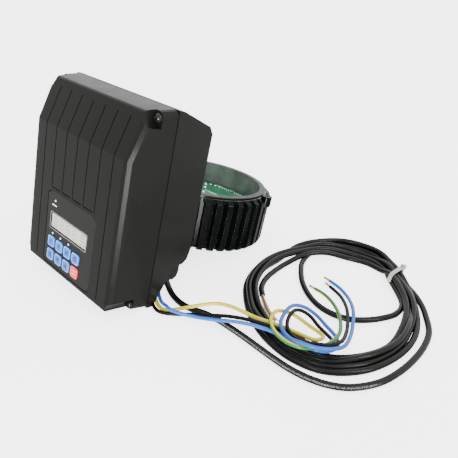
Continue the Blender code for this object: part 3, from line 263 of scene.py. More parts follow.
def earth_material():
    """Yellow insulation with a green stripe that winds slowly round it."""
    tree = insulation("lead_earth_two_colour", (0.60, 0.48, 0.006), 0.5, 0.15)
    turn, along = tube_place(tree)
    swing = tree.calc("ADD", tree.calc("MULTIPLY", along, 0.8),
                      tree.steps(along, 0.38, 0.46, 0.0, 0.25))
    wound = tree.calc("FRACT", tree.calc("ADD", turn, swing), 0.0)
    green = tree.calc("MULTIPLY", tree.steps(wound, 0.36, 0.39), tree.steps(wound, 0.83, 0.80))
    tree.cover(green, (0.016, 0.150, 0.026))
    return tree.material


def strand_material(name, rgb):
    return plain(name, rgb, 0.30, metallic=1.0, spread=0.2, blotch=300.0, grain=2500.0)


# A charcoal moulding with a spark-eroded grain, slightly polished by handling.
HOUSING = plain("drive_housing", (0.0050, 0.0051, 0.0042), 0.30, spread=0.06, blotch=14.0,
                rough_spread=0.04, specular=0.13,
                bumps=((1100.0, 1.0, 0.000008, 0.15), (60.0, 1.0, 0.00004, 0.15)))
PANEL = plain("drive_panel", (0.0050, 0.0052, 0.0046), 0.36, spread=0.05, blotch=30.0,
              rough_spread=0.04, specular=0.24, bumps=((1500.0, 1.0, 0.000006, 0.2),))
# A glossy black coating on a casting, with a slight orange peel.
COATING = plain("can_coating", (0.0020, 0.0028, 0.0025), 0.20, spread=0.18, blotch=40.0,
                rough_spread=0.05, specular=0.065,
                bumps=((420.0, 2.0, 0.00003, 0.3), (60.0, 2.0, 0.00015, 0.3)))
BARE_METAL = cast_metal_material()
MACHINED = plain("can_machined_rim", (0.012, 0.016, 0.014), 0.34, spread=0.20, blotch=60.0,
                 rough_spread=0.08, specular=0.15, bumps=((1800.0, 2.0, 0.00001, 0.6),))
# Paler grey for the can's rounded edges: partly edge wear, partly a painted highlight that
# draws light lines along the fins and the rim's inner edge.
EDGE_WEAR_AND_SHEEN = plain("can_worn_edge", (0.16, 0.175, 0.165), 0.30, spread=0.25, blotch=180.0,
                  depth=0.0)
BOARD = board_material()
KEY_BLUE = key_material("key_blue_silicone", (0.016, 0.115, 0.450))
KEY_RED = key_material("key_red_silicone", (0.62, 0.018, 0.018))
DISPLAY = display_material()
JACKET = jacket_material()
BLUE = insulation("lead_blue_insulation", (0.016, 0.105, 0.430)).material
BLACK = insulation("lead_black_insulation", (0.003, 0.003, 0.0035), 0.14, 0.02).material
EARTH = earth_material()
COPPER = strand_material("copper_strands", (0.80, 0.45, 0.32))
SOLDER = plain("solder_joint", (0.80, 0.83, 0.80), 0.22, metallic=0.9, blotch=400.0)
GASKET = plain("gasket_rubber", (0.004, 0.004, 0.004), 0.7, grain=800.0, specular=0.1)
SCREW = plain("screw_black_oxide", (0.007, 0.007, 0.007), 0.20, metallic=0.2, spread=0.2,
              blotch=300.0, grain=1200.0, depth=0.00001, specular=0.35)
STEEL = plain("screw_zinc", (0.58, 0.60, 0.62), 0.30, metallic=1.0, blotch=260.0)
LAMP = plain("lamp_lens", (0.86, 0.87, 0.84), 0.22, spread=0.03, blotch=500.0, coat=0.5,
             coat_rough=0.05)
GLAND = plain("gland_moulding", (0.006, 0.006, 0.0055), 0.42, grain=1200.0, depth=0.00001,
              specular=0.12)
TIE = plain("tie_nylon", (0.44, 0.45, 0.37), 0.38, spread=0.05, blotch=220.0, grain=700.0)
DOMES = plain("dome_silicone_grey", (0.50, 0.50, 0.50), 0.7, grain=900.0)
SLEEVE = plain("capacitor_sleeve_dark", (0.03, 0.03, 0.05), 0.33, grain=900.0)
TERMINAL = plain("terminal_moulding", (0.05, 0.33, 0.12), 0.45, grain=1200.0)
RELAY = plain("relay_moulding", (0.03, 0.12, 0.40), 0.40, grain=1200.0)
WINDING = strand_material("choke_winding", (0.65, 0.28, 0.10))
MODULE = plain("module_moulding", (0.10, 0.10, 0.11), 0.5, grain=1200.0)
PAD = plain("thermal_pad_soft", (0.45, 0.45, 0.48), 0.8, grain=900.0)
RIBBON = plain("ribbon_grey_flat", (0.42, 0.43, 0.45), 0.55, grain=900.0)
TIN = plain("pins_tinned", (0.70, 0.68, 0.60), 0.3, metallic=1.0, blotch=300.0)
PRINT_WHITE = ink("print_white", (0.72, 0.72, 0.70), 0.5, 0.04)
PRINT_GREY = ink("print_grey", (0.30, 0.30, 0.28), 0.5, 0.04)
KEY_RIM_BLUE = ink("key_print_pale_blue", (0.30, 0.50, 0.85))
KEY_INK = ink("key_print_dark_blue", (0.003, 0.010, 0.060))
KEY_RIM_RED = ink("key_print_pale_red", (0.85, 0.26, 0.22))
SEGMENTS = plain("display_segment_shade", (0.17, 0.17, 0.14), 0.40, spread=0.06,
                 blotch=300.0)
CORES = [insulation(f"core_{name}", rgb).material
         for name, rgb in (("white", (0.78, 0.75, 0.72)), ("red", (0.60, 0.10, 0.08)),
                           ("dark", (0.05, 0.045, 0.040)), ("green", (0.30, 0.42, 0.16)))]


def floor_material():
    """A pale studio floor lit a little from below, as on a light table."""
    tree = surface("pale_floor", (0.90, 0.90, 0.90), 0.7, spread=0.01, blotch=2.0,
                   grain=300.0, depth=0.00001, specular=0.1)
    fill(tree.shader, {"Emission Color": (1.0, 1.0, 1.0, 1.0), "Emission Strength": 3.0})
    return tree.material


FLOOR = floor_material()


# ---------------------------------------------------------------- mesh helpers
def link(name, mesh, *materials):
    made = bpy.data.objects.new(name, mesh)
    bpy.context.scene.collection.objects.link(made)
    for finish in materials:
        mesh.materials.append(finish)
    return made


def smooth(mesh, angle=35):
    mesh.shade_smooth()
    mesh.set_sharp_from_angle(angle=radians(angle))


WELD = 0.000004  # vertices nearer than this are one
FLAT_WITHIN = 1.0  # degrees between faces that count as one flat


def refined(node, finish, width=0.0003, segments=2, angle=32, body="drive"):
    """A CAD piece with its edges rounded, standing for that piece."""
    source = NODES[node]
    mesh = source.data.copy()
    mesh.materials.clear()
    shape = bmesh.new()
    shape.from_mesh(mesh)
    bmesh.ops.remove_doubles(shape, verts=shape.verts, dist=WELD)
    bmesh.ops.dissolve_limit(shape, angle_limit=radians(FLAT_WITHIN), verts=shape.verts,
                             edges=shape.edges)
    shape.to_mesh(mesh)
    shape.free()
    made = link(node + "_finished", mesh, finish)
    smooth(mesh)
    if width:
        bevel = made.modifiers.new("edge_radius", "BEVEL")
        bevel.width = width
        bevel.segments = segments
        bevel.limit_method = "ANGLE"
        bevel.angle_limit = radians(angle)
        bevel.harden_normals = True
        bevel.use_clamp_overlap = True
    even = made.modifiers.new("flat_faces", "WEIGHTED_NORMAL")
    even.keep_sharp = True
    even.weight = 100
    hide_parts(node)
    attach(made, body)
    return made


def outward_mesh(name, shape):
    """The mesh of a finished bmesh, with its faces turned outwards."""
    bmesh.ops.recalc_face_normals(shape, faces=shape.faces)
    mesh = bpy.data.meshes.new(name)
    shape.to_mesh(mesh)
    shape.free()
    return mesh


def band(shape, low, high):
    """Faces between two loops of vertices, all the way round."""
    return [shape.faces.new((low[i], low[j], high[j], high[i]))
            for i, j in zip(range(len(low)), [*range(1, len(low)), 0])]


INK = 0.00006  # thickness of a printed mark


class Shape:
    """Collects simple solids in the drive's frame into one detailed mesh."""

    def __init__(self):
        self.mesh = bmesh.new()
        self.index = 0

    def block(self, centre, size, bevel=0.0):
        made = bmesh.ops.create_cube(self.mesh, size=1.0)["verts"]
        matrix = Matrix.Translation(centre) @ Matrix.Diagonal((*size, 1))
        bmesh.ops.transform(self.mesh, matrix=matrix, verts=made)
        for face in {face for vert in made for face in vert.link_faces}:
            face.material_index = self.index
        if bevel:
            edges = {edge for vert in made for edge in vert.link_edges}
            bmesh.ops.bevel(self.mesh, geom=list(edges), offset=bevel, segments=2,
                            affect="EDGES", profile=0.5, material=self.index)

    def dome(self, centre, radius, height, sides=12):
        """A flattened dome, such as a solder joint."""
        centre = Vector(centre)
        loops = []
        for lift in (0, radians(30), radians(60)):
            r, z = radius * cos(lift), height * sin(lift)
            loops.append([self.mesh.verts.new(centre + Vector((r * cos(2 * pi * i / sides),
                                                               r * sin(2 * pi * i / sides),
                                                               z)))
                          for i in range(sides)])
        peak = self.mesh.verts.new(centre + Vector((0, 0, height)))
        faces = [self.mesh.faces.new(list(reversed(loops[0])))]
        for low, high in zip(loops, loops[1:]):
            faces += band(self.mesh, low, high)
        for i in range(sides):
            faces.append(self.mesh.faces.new((loops[-1][i], loops[-1][(i + 1) % sides], peak)))
        for face in faces:
            face.material_index = self.index

    def plate(self, outlines, y_front):
        """A film of ink in the front plane: an outline, or an outline with one hole."""
        front, back = ([[self.mesh.verts.new((x, y, z)) for x, z in loop]
                        for loop in outlines] for y in (y_front, y_front + INK))
        faces = []
        for near, far in zip(front, back):
            faces += band(self.mesh, near, far)
        if len(outlines) == 1:
            faces.append(self.mesh.faces.new(front[0]))
            faces.append(self.mesh.faces.new(list(reversed(back[0]))))
        else:
            for outer, inner in (front, back):
                faces += band(self.mesh, outer, inner)
        for face in faces:
            face.material_index = self.index

    def patch(self, x0, x1, z0, z1, radius, y_front, steps=2):
        """A rounded rectangle of ink."""
        self.plate([rounded(x0, x1, z0, z1, radius, steps)], y_front)

    def done(self, name, slot, *materials, body="drive"):
        mesh = outward_mesh(name, self.mesh)
        mesh.transform(DRIVE)
        smooth(mesh)
        made = link(name, mesh, *materials)
        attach(made, body)


def rounded(x0, x1, z0, z1, radius, steps=5):
    """The outline of a rectangle with rounded corners."""
    points = []
    for cx, cz, start in ((x1 - radius, z1 - radius, 0), (x0 + radius, z1 - radius, 90),
                          (x0 + radius, z0 + radius, 180), (x1 - radius, z0 + radius, 270)):
        for i in range(steps + 1):
            angle = radians(start + 90 * i / steps)
            points.append((cx + radius * cos(angle), cz + radius * sin(angle)))
    return points


# ---------------------------------------------------------------- cords
# Route points are in metres, in the bench's frame.
CABLE_ROUTE = [
    (0.0705, -0.061, 0.013), (0.076, -0.062, 0.0074), (0.0835, -0.064, 0.0041),
    (0.092, -0.066, 0.0034), (0.103, -0.0672, 0.0034), (0.116, -0.0655, 0.0034),
    (0.129, -0.0605, 0.0034), (0.144, -0.0572, 0.0034), (0.176, -0.056, 0.0034),
    (0.198, -0.0565, 0.0034), (0.218, -0.057, 0.0034), (0.238, -0.0565, 0.0034),
    (0.257, -0.053, 0.0034), (0.273, -0.0465, 0.0034), (0.286, -0.037, 0.0034),
    (0.297, -0.0225, 0.0034), (0.305, -0.005, 0.0034), (0.3095, 0.017, 0.0034),
    (0.311, 0.043, 0.0034), (0.309, 0.069, 0.0034), (0.3025, 0.0935, 0.0034),
    (0.289, 0.115, 0.0034), (0.278, 0.129, 0.0034), (0.2645, 0.1415, 0.0034),
]
BLACK_ROUTE = [
    (0.0366, -0.0797, 0.006), (0.0367, -0.0783, 0.0046), (0.0369, -0.0757, 0.0028),
    (0.0379, -0.0722, 0.0021), (0.0406, -0.0696, 0.0021), (0.0445, -0.0682, 0.0021),
    (0.05, -0.0692, 0.0021), (0.062, -0.0763, 0.0021), (0.072, -0.0828, 0.0021),
    (0.081, -0.0878, 0.0021), (0.0885, -0.0914, 0.0021), (0.0965, -0.0922, 0.0021),
    (0.104, -0.0885, 0.0021), (0.1125, -0.0815, 0.0025), (0.124, -0.0735, 0.005),
    (0.142, -0.062, 0.009), (0.16, -0.052, 0.013), (0.178, -0.0435, 0.0149),
    (0.194, -0.037, 0.0149), (0.208, -0.032, 0.0149), (0.222, -0.0285, 0.0149),
    (0.236, -0.0263, 0.0149), (0.2445, -0.024, 0.0149), (0.25, -0.0185, 0.0149),
    (0.251, -0.0113, 0.0146), (0.2475, -0.0045, 0.0132), (0.239, 0.0008, 0.011),
    (0.224, 0.007, 0.0095), (0.211, 0.0115, 0.011), (0.203, 0.009, 0.014),
    (0.1995, 0.0015, 0.0175), (0.2005, -0.008, 0.0192), (0.205, -0.02, 0.0192),
    (0.213, -0.03, 0.0192), (0.224, -0.0355, 0.0196), (0.236, -0.036, 0.0214),
    (0.247, -0.031, 0.0234), (0.2555, -0.021, 0.022), (0.258, -0.006, 0.0194),
    (0.2515, 0.014, 0.0148), (0.241, 0.034, 0.0115), (0.227, 0.0545, 0.009),
    (0.208, 0.0735, 0.0045), (0.196, 0.0805, 0.0024), (0.1877, 0.0835, 0.002),
]
BLUE_ROUTE = [
    (0.0274, -0.0797, 0.006), (0.0275, -0.0783, 0.0046), (0.0276, -0.0757, 0.0028),
    (0.0279, -0.071, 0.0021), (0.0295, -0.0655, 0.0021), (0.0333, -0.0611, 0.0021),
    (0.0393, -0.0588, 0.0021), (0.0465, -0.059, 0.0021), (0.056, -0.0628, 0.0021),
    (0.0655, -0.0682, 0.0021), (0.0765, -0.0752, 0.0021), (0.0855, -0.0798, 0.0023),
    (0.092, -0.0824, 0.0042), (0.0985, -0.0846, 0.0069), (0.107, -0.0862, 0.008),
    (0.118, -0.0822, 0.0075), (0.131, -0.075, 0.0072), (0.148, -0.0665, 0.0095),
    (0.165, -0.057, 0.0128), (0.183, -0.048, 0.0149), (0.198, -0.0415, 0.0149),
    (0.214, -0.0375, 0.0149), (0.229, -0.035, 0.0149), (0.243, -0.031, 0.0149),
    (0.254, -0.0235, 0.0149), (0.2575, -0.014, 0.0149), (0.2545, -0.005, 0.0142),
    (0.245, 0.0055, 0.011), (0.2285, 0.0135, 0.0095), (0.213, 0.0185, 0.0105),
    (0.201, 0.0165, 0.0135), (0.1935, 0.0085, 0.0165), (0.1935, -0.003, 0.0192),
    (0.1965, -0.015, 0.0192), (0.202, -0.027, 0.0192), (0.211, -0.0355, 0.0192),
    (0.223, -0.04, 0.02), (0.236, -0.0405, 0.0232), (0.2485, -0.036, 0.0234),
    (0.259, -0.025, 0.022), (0.263, -0.009, 0.0186), (0.257, 0.013, 0.0148),
    (0.247, 0.034, 0.0115), (0.2335, 0.057, 0.009), (0.2145, 0.0785, 0.004),
    (0.196, 0.0895, 0.0022), (0.1804, 0.093, 0.002),
]
EARTH_ROUTE = [
    (0.032, -0.0797, 0.006), (0.0321, -0.0783, 0.0046), (0.0323, -0.0757, 0.0028),
    (0.0328, -0.0712, 0.0021), (0.0347, -0.0668, 0.0021), (0.0382, -0.0641, 0.0021),
    (0.043, -0.0634, 0.0021), (0.05, -0.0648, 0.0021), (0.0637, -0.0723, 0.0021),
    (0.0745, -0.0794, 0.0021), (0.083, -0.0838, 0.0021), (0.0905, -0.0867, 0.0021),
    (0.0975, -0.0866, 0.0021), (0.1035, -0.0832, 0.003), (0.1095, -0.0768, 0.0052),
    (0.117, -0.069, 0.008), (0.127, -0.059, 0.012), (0.137, -0.0495, 0.0145),
    (0.148, -0.044, 0.0155), (0.163, -0.0398, 0.0153), (0.178, -0.0365, 0.0149),
    (0.192, -0.0315, 0.0149), (0.206, -0.027, 0.0149), (0.22, -0.0235, 0.0149),
    (0.231, -0.021, 0.0149), (0.2365, -0.0193, 0.0149), (0.24, -0.0145, 0.0148),
    (0.24, -0.0088, 0.0139), (0.2363, -0.0046, 0.0126), (0.2295, -0.0024, 0.0112),
    (0.217, 0.0005, 0.0093), (0.206, 0.002, 0.0092), (0.1975, -0.001, 0.012),
    (0.1905, -0.008, 0.0155), (0.1885, -0.018, 0.0192), (0.192, -0.03, 0.0192),
    (0.201, -0.039, 0.0192), (0.213, -0.0445, 0.0192), (0.226, -0.0455, 0.0192),
    (0.237, -0.0415, 0.0191), (0.246, -0.033, 0.019), (0.251, -0.021, 0.0193),
    (0.252, -0.008, 0.0188), (0.248, 0.007, 0.016), (0.2395, 0.023, 0.0125),
    (0.226, 0.04, 0.0098), (0.206, 0.0575, 0.005), (0.19, 0.0655, 0.0023),
    (0.1789, 0.0666, 0.002),
]
CABLE_DIAMETER = 0.0066
LEAD_DIAMETER = 0.0039
STRAND_RADIUS = 0.00048
STRAND_RING = 0.00085  # from the lead's middle to an outer strand's

# Stations round the coil, in travel order from the tie: inner and outer edge, in mm.
STATIONS = (
    ((221.5, 150.1), (235.5, 164.9)), ((211.0, 154.0), (214.0, 182.0)),
    ((191.0, 154.5), (187.0, 194.0)), ((168.0, 145.0), (146.0, 185.0)),
    ((149.0, 128.5), (123.0, 160.5)), ((136.0, 108.0), (108.5, 122.0)),
    ((130.0, 80.0), (104.0, 80.0)), ((131.0, 52.0), (106.0, 46.0)),
    ((141.0, 25.0), (119.0, 12.0)), ((156.0, 3.0), (139.0, -11.5)),
    ((178.0, -13.5), (168.0, -33.0)), ((204.0, -20.5), (199.0, -45.5)),
    ((230.0, -19.5), (232.0, -48.0)), ((253.0, -10.5), (263.0, -38.0)),
    ((270.0, 8.0), (290.0, -6.0)), ((281.0, 40.0), (302.0, 42.0)),
    ((276.0, 74.0), (297.5, 82.0)), ((258.0, 113.0), (276.0, 124.0)),
)
# Each turn at each station: mm from the inner edge, and its layer (0 lies on the bench).
TURNS = (
    ((17.0, 0), (24.4, 0), (36.2, 0), (42.0, 0), (37.6, 0), (27.4, 0), (22.6, 0), (22.2, 0),
     (21.8, 0), (18.6, 0), (18.4, 0), (21.8, 0), (25.2, 0), (25.8, 0), (21.0, 0), (17.6, 0),
     (19.5, 0), (17.4, 0)),
    ((16.5, 1), (21.5, 1), (33.0, 1), (37.5, 1), (33.2, 1), (24.5, 0.9), (15.9, 0), (15.5, 0),
     (15.1, 0), (11.9, 0), (11.7, 0), (15.0, 0), (18.4, 0), (18.8, 0), (13.6, 0), (10.9, 0),
     (12.8, 0), (13.8, 1)),
    ((9.8, 1), (14.5, 1), (22.4, 0), (27.0, 0.2), (24.0, 1), (17.0, 1), (19.2, 1), (18.8, 1),
     (18.4, 1), (15.2, 1), (14.5, 1), (8.4, 0.2), (11.6, 0), (12.2, 0.1), (9.0, 0.8), (9.0, 1),
     (10.6, 1), (10.4, 0)),
    ((10.2, 0), (17.4, 0), (29.4, 0), (34.5, 0), (30.5, 0)),
    ((3.5, 0), (10.4, 0), (14.0, 0), (16.0, 0), (14.5, 0.8), (10.4, 1), (12.6, 1), (12.2, 1),
     (11.6, 1), (8.4, 1), (5.0, 0.2), (3.6, 0), (4.8, 0), (5.2, 0), (3.4, 0), (4.2, 0),
     (5.4, 0.6), (6.4, 1)),
    ((3.8, 1), (3.8, 0.2), (5.0, 0), (5.5, 0), (5.2, 0.8), (4.2, 0.8), (4.2, 0)),
)
# The turn that crosses the coil's middle, and the cable's end at the coil's inner left.
CROSSING = (
    (130.5, 137.0, 3.4), (131.5, 116.0, 3.4), (137.5, 96.5, 3.4), (146.5, 82.5, 3.4),
    (162.5, 64.0, 3.4), (183.0, 49.0, 3.4), (203.0, 41.5, 3.4), (222.0, 42.0, 3.4),
    (238.0, 49.5, 3.4), (250.5, 63.0, 3.4), (259.5, 79.0, 3.4), (264.5, 94.0, 3.4),
)
CABLE_END = ((127.2, 55.0, 3.4), (131.3, 35.0, 3.4), (139.0, 19.5, 3.4), (149.0, 9.5, 3.4))
# The thin conductors lie on the bench inside the coil, one beside the other.
CORE_RUN = ((159.0, 2.2, 1.8), (168.5, -4.0, 1.0), (178.0, -8.6, 1.0), (187.0, -11.8, 1.0))
BENCH_LAYER = 3.4  # the cable's middle above the bench, in mm
LAYER = 5.6  # mm from one layer of turns to the next
CROSSING_AFTER = 3  # the part turn that the crossing follows
CROSSING_ENDS = (3.6, 0)  # where it joins the coil again, at the last station
CORE_RADIUS = 0.00075


def coil_point(station, place):
    """World point of a turn at a station, in metres."""
    inner, outer = Vector(STATIONS[station][0]), Vector(STATIONS[station][1])
    across, layer = place
    spot = inner + (outer - inner).normalized() * across
    return (spot.x * MM, spot.y * MM, (BENCH_LAYER + LAYER * layer) * MM)


def in_metres(points):
    return [tuple(value * MM for value in point) for point in points]


def cable_points():
    """The whole cable: the run from the gland, the turns of the coil, and its end."""
    points = list(CABLE_ROUTE)
    for index, turn in enumerate(TURNS):
        points += [coil_point(station, place) for station, place in enumerate(turn)]
        if index == CROSSING_AFTER:
            points += in_metres(CROSSING)
            points.append(coil_point(len(STATIONS) - 1, CROSSING_ENDS))
    return points + in_metres(CABLE_END)


def smooth_curve(points, fine=0.0005):
    """A dense smooth curve through the points, with even tension between them."""
    points = [Vector(p) for p in points]
    padded = [2 * points[0] - points[1], *points, 2 * points[-1] - points[-2]]
    curve = []
    for a, b, c, d in zip(padded, padded[1:], padded[2:], padded[3:]):
        tb = (b - a).length ** 0.5
        tc = tb + (c - b).length ** 0.5
        td = tc + (d - c).length ** 0.5
        steps = max(2, int((c - b).length / fine))
        for i in range(steps):
            t = tb + (tc - tb) * i / steps
            ab = a * ((tb - t) / tb) + b * (t / tb)
            bc = b * ((tc - t) / (tc - tb)) + c * ((t - tb) / (tc - tb))
            cd = c * ((td - t) / (td - tc)) + d * ((t - tc) / (td - tc))
            first = ab * ((tc - t) / tc) + bc * (t / tc)
            second = bc * ((td - t) / (td - tb)) + cd * ((t - tb) / (td - tb))
            curve.append(first * ((tc - t) / (tc - tb)) + second * ((t - tb) / (tc - tb)))
    curve.append(points[-1])
    return curve


def spaced(curve, spacing):
    """Points along a dense curve at one spacing, and the curve's length."""
    reach = [0.0]
    for a, b in zip(curve, curve[1:]):
        reach.append(reach[-1] + (b - a).length)
    count = max(2, round(reach[-1] / spacing))
    chosen = []
    index = 0
    for step in range(count + 1):
        wanted = reach[-1] * step / count
        while index < len(curve) - 2 and reach[index + 1] < wanted:
            index += 1
        share = (wanted - reach[index]) / max(1e-9, reach[index + 1] - reach[index])
        chosen.append(curve[index].lerp(curve[index + 1], share))
    return chosen, reach[-1]


def add_tube(shape, path, radius, sides, map_layer):
    """Adds a closed tube along a path, with turn and metres along it in its map."""
    rings = []
    side = None
    travelled = 0.0
    count = len(path)
    for i, point in enumerate(path):
        ahead = (path[min(i + 1, count - 1)] - path[max(i - 1, 0)]).normalized()
        if side is None:
            side = ahead.orthogonal().normalized()
            if side.z < 0:
                side = -side
        side = (side - ahead * side.dot(ahead)).normalized()
        other = ahead.cross(side)
        rings.append(([shape.verts.new(point + radius * (side * cos(2 * pi * k / sides)
                                                         + other * sin(2 * pi * k / sides)))
                       for k in range(sides)], travelled))
        if i < count - 1:
            travelled += (path[i + 1] - point).length
    for (low, low_at), (high, high_at) in zip(rings, rings[1:]):
        for k in range(sides):
            j = (k + 1) % sides
            face = shape.faces.new((low[k], low[j], high[j], high[k]))
            for loop, uv in zip(face.loops, ((k / sides, low_at), ((k + 1) / sides, low_at),
                                             ((k + 1) / sides, high_at),
                                             (k / sides, high_at))):
                loop[map_layer].uv = uv
    for ring, order in ((rings[0], -1), (rings[-1], 1)):
        face = shape.faces.new(ring[0][::order])
        for loop in face.loops:
            loop[map_layer].uv = (0.0, ring[1])


def tube_mesh(name, paths, radius, sides, *materials):
    """One mesh of one or more tubes; each tube takes its own material."""
    shape = bmesh.new()
    map_layer = shape.loops.layers.uv.new("tube")
    for index, path in enumerate(paths):
        before = len(shape.faces)
        add_tube(shape, path, radius, sides, map_layer)
        shape.faces.ensure_lookup_table()
        for face in shape.faces[before:]:
            face.material_index = min(index, len(materials) - 1)
    mesh = outward_mesh(name, shape)
    smooth(mesh, 50)
    return link(name, mesh, *materials)


def make_cable():
    path, length = spaced(smooth_curve(cable_points()), 0.0026)
    cable = tube_mesh("communication_cable_jacket", [path], CABLE_DIAMETER / 2, 16, JACKET)
    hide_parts("communication_cable", "cable_coil", "cable_inner_run")
    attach(cable, "drive")
    end, along = path[-1], (path[-1] - path[-4]).normalized()
    cores = make_cores(end, along)
    tie = make_tie()


def make_cores(end, along):
    """Four thin conductors that fan out of the jacket's end, inside the coil."""
    side = along.cross(Vector((0, 0, 1))).normalized()
    up = Vector((0, 0, 1))
    paths = []
    for rank, lift, stop in ((-1.5, -0.0004, 1.0), (-0.5, 0.0009, 0.84), (0.5, 0.0009, 0.93),
                             (1.5, -0.0004, 0.78)):
        points = [end + along * run + side * rank * 0.0009 + up * lift
                  for run in (-0.006, 0.002)]
        for place, spot in enumerate(in_metres(CORE_RUN)):
            points.append(Vector(spot) + side * rank * (0.0014 + 0.0003 * place))
        points[-1] = points[-2].lerp(points[-1], stop * 2 - 1)
        paths.append(spaced(smooth_curve(points, 0.0003), 0.0011)[0])
    cores = tube_mesh("cable_conductors", paths, CORE_RADIUS, 10, *CORES)
    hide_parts("cable_cores")
    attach(cores, "drive")
    return cores


TIE_CENTRE = Vector((0.2295, 0.1570, 0.0074))
TIE_ALONG = Vector((0.999, -0.035, 0.0)).normalized()
TIE_ACROSS = Vector((0.035, 0.999, 0.0)).normalized()


def make_tie():
    """A nylon tie: a curved band, its ratchet head outside the bundle and a cut tail."""
    shape = bmesh.new()
    outer_half, outer_tall, corner = 0.0146, 0.0072, 0.0062
    outline = []
    for cx, cz, begin in ((outer_half - corner, outer_tall - corner, 0),
                          (corner - outer_half, outer_tall - corner, 90),
                          (corner - outer_half, corner - outer_tall, 180),
                          (outer_half - corner, corner - outer_tall, 270)):
        for i in range(8):
            angle = radians(begin + 90 * i / 7)
            outline.append((cx, cz, cos(angle), sin(angle)))
    half = 0.00225  # of the band's width
    section = ((0.0, half), (0.0, -half), (-0.00035, -half - 0.0001), (-0.0012, -half),
               (-0.0012, half), (-0.00035, half + 0.0001))
    rings = []
    for cx, cz, nx, nz in outline:
        ring = []
        for depth, wide in section:
            across, up = cx + nx * (corner + depth), cz + nz * (corner + depth)
            ring.append(shape.verts.new(TIE_CENTRE + TIE_ACROSS * across + TIE_ALONG * wide
                                        + Vector((0, 0, up))))
        rings.append(ring)
    for ring, following in zip(rings, rings[1:] + rings[:1]):
        band(shape, ring, following)
    turn = Matrix((TIE_ACROSS, TIE_ALONG, Vector((0, 0, 1)))).transposed().to_4x4()

    def block(across, up, size, bevel, tilt=0.0):
        place = (Matrix.Translation(TIE_CENTRE) @ turn @ Matrix.Translation((across, 0, up))
                 @ Matrix.Rotation(tilt, 4, "Y") @ Matrix.Diagonal((*size, 1)))
        verts = bmesh.ops.create_cube(shape, size=1.0, matrix=place)["verts"]
        edges = list({edge for vert in verts for edge in vert.link_edges})
        bmesh.ops.bevel(shape, geom=edges, offset=bevel, segments=3, affect="EDGES",
                        profile=0.5)
    block(0.0160, 0.0052, (0.0056, 0.0062, 0.0060), 0.0010, tilt=0.35)
    block(0.0200, 0.0042, (0.0030, 0.0040, 0.0016), 0.0004, tilt=0.35)
    for step in range(9):
        angle = radians(40 + 10 * step)
        across, up = 0.0073 + 0.0062 * cos(angle), 0.0008 + 0.0061 * sin(angle)
        block(across, up, (0.0003, 0.0030, 0.0003), 0.00005)
    mesh = outward_mesh("cable_tie_nylon", shape)
    smooth(mesh, 40)
    tie = link("cable_tie_nylon", mesh, TIE)
    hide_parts("cable_tie")
    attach(tie, "drive")
    return tie


def make_lead(name, route, finish):
    """A lead with bare copper strands at its free end."""
    path, length = spaced(smooth_curve(route), 0.0020)
    lead = tube_mesh(f"{name}_insulation", [path], LEAD_DIAMETER / 2, 14, finish)
    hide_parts(name)
    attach(lead, "drive")
    end, along = path[-1], (path[-1] - path[-4]).normalized()
    side = along.cross(Vector((0, 0, 1))).normalized()
    up = side.cross(along).normalized()
    strands = []
    for k in range(7):
        ring = 0.0 if k == 0 else STRAND_RING
        angle = 2 * pi * k / 6
        across = side * ring * cos(angle) + up * ring * sin(angle)
        twist = side * ring * cos(angle + 0.9) + up * ring * sin(angle + 0.9)
        points = [end - along * 0.002 + across, end + along * 0.0025 + across,
                  end + along * (0.0078 + 0.0004 * (k % 3)) + twist * 1.15]
        strands.append(spaced(smooth_curve(points, 0.0003), 0.0010)[0])
    tip = tube_mesh(f"{name}_strands", strands, STRAND_RADIUS, 8, COPPER)
    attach(tip, "drive")


make_cable()
make_lead("lead_blue", BLUE_ROUTE, BLUE)
make_lead("lead_black", BLACK_ROUTE, BLACK)
make_lead("lead_earth", EARTH_ROUTE, EARTH)


# ---------------------------------------------------------------- box, screws and panel
refined("front_cover", HOUSING, 0.0006, 3, angle=15)
refined("rear_housing", HOUSING, 0.0005)
refined("cover_gasket", GASKET, 0.0)
refined("keypad_overlay", PANEL, 0.00012)
for index in range(1, 5):
    refined(f"cover_screw_{index}", SCREW, 0.0002, angle=45)
for name in ("gland_block", "gland_bushing", "lead_grommet"):
    refined(name, GLAND, angle=45)
for name in ("mode_1", "mode_2", "mode_3", "power"):
    refined(f"lamp_{name}", LAMP, 0.0002, angle=45)

KEY_COLUMNS = (-0.0298, -0.0143, 0.0012, 0.0167)
KEY_ROWS = ((0.0348, ("mode_1", "mode_2", "mode_3", "mode_4")),
            (0.0195, ("menu", "down", "up", "stop")))
KEY_FRONT = -0.0008  # the keys' front plane
KEY_HALF = 0.0056  # the frame printed round a key: half its outer and inner width
KEY_HALF_INNER = 0.0050


def symbol(shape, name, x, z):
    """The dark mark in the middle of a key."""
    front = KEY_FRONT - INK
    if name in ("down", "up"):
        flip = -1 if name == "down" else 1
        shape.plate([[(x - 0.0023, z - 0.0016 * flip), (x + 0.0023, z - 0.0016 * flip),
                      (x, z + 0.0022 * flip)]], front)
    elif name == "menu":
        for lift in (-0.0018, 0.0, 0.0018):
            shape.patch(x - 0.0024, x + 0.0024, z + lift - 0.0004, z + lift + 0.0004, 0.0003,
                        front)
    elif name == "mode_4":
        shape.plate([rounded(x - 0.0024, x + 0.0024, z - 0.0024, z + 0.0024, 0.0023),
                     rounded(x - 0.0016, x + 0.0016, z - 0.0016, z + 0.0016, 0.0015)], front)
        shape.patch(x - 0.0003, x + 0.0003, z - 0.0002, z + 0.0020, 0.00025, front)
    else:
        bars = int(name[-1])
        for bar in range(bars):
            middle = x + (bar - (bars - 1) / 2) * 0.0015
            shape.patch(middle - 0.0004, middle + 0.0004, z - 0.0020, z + 0.0020, 0.0003,
                        front)


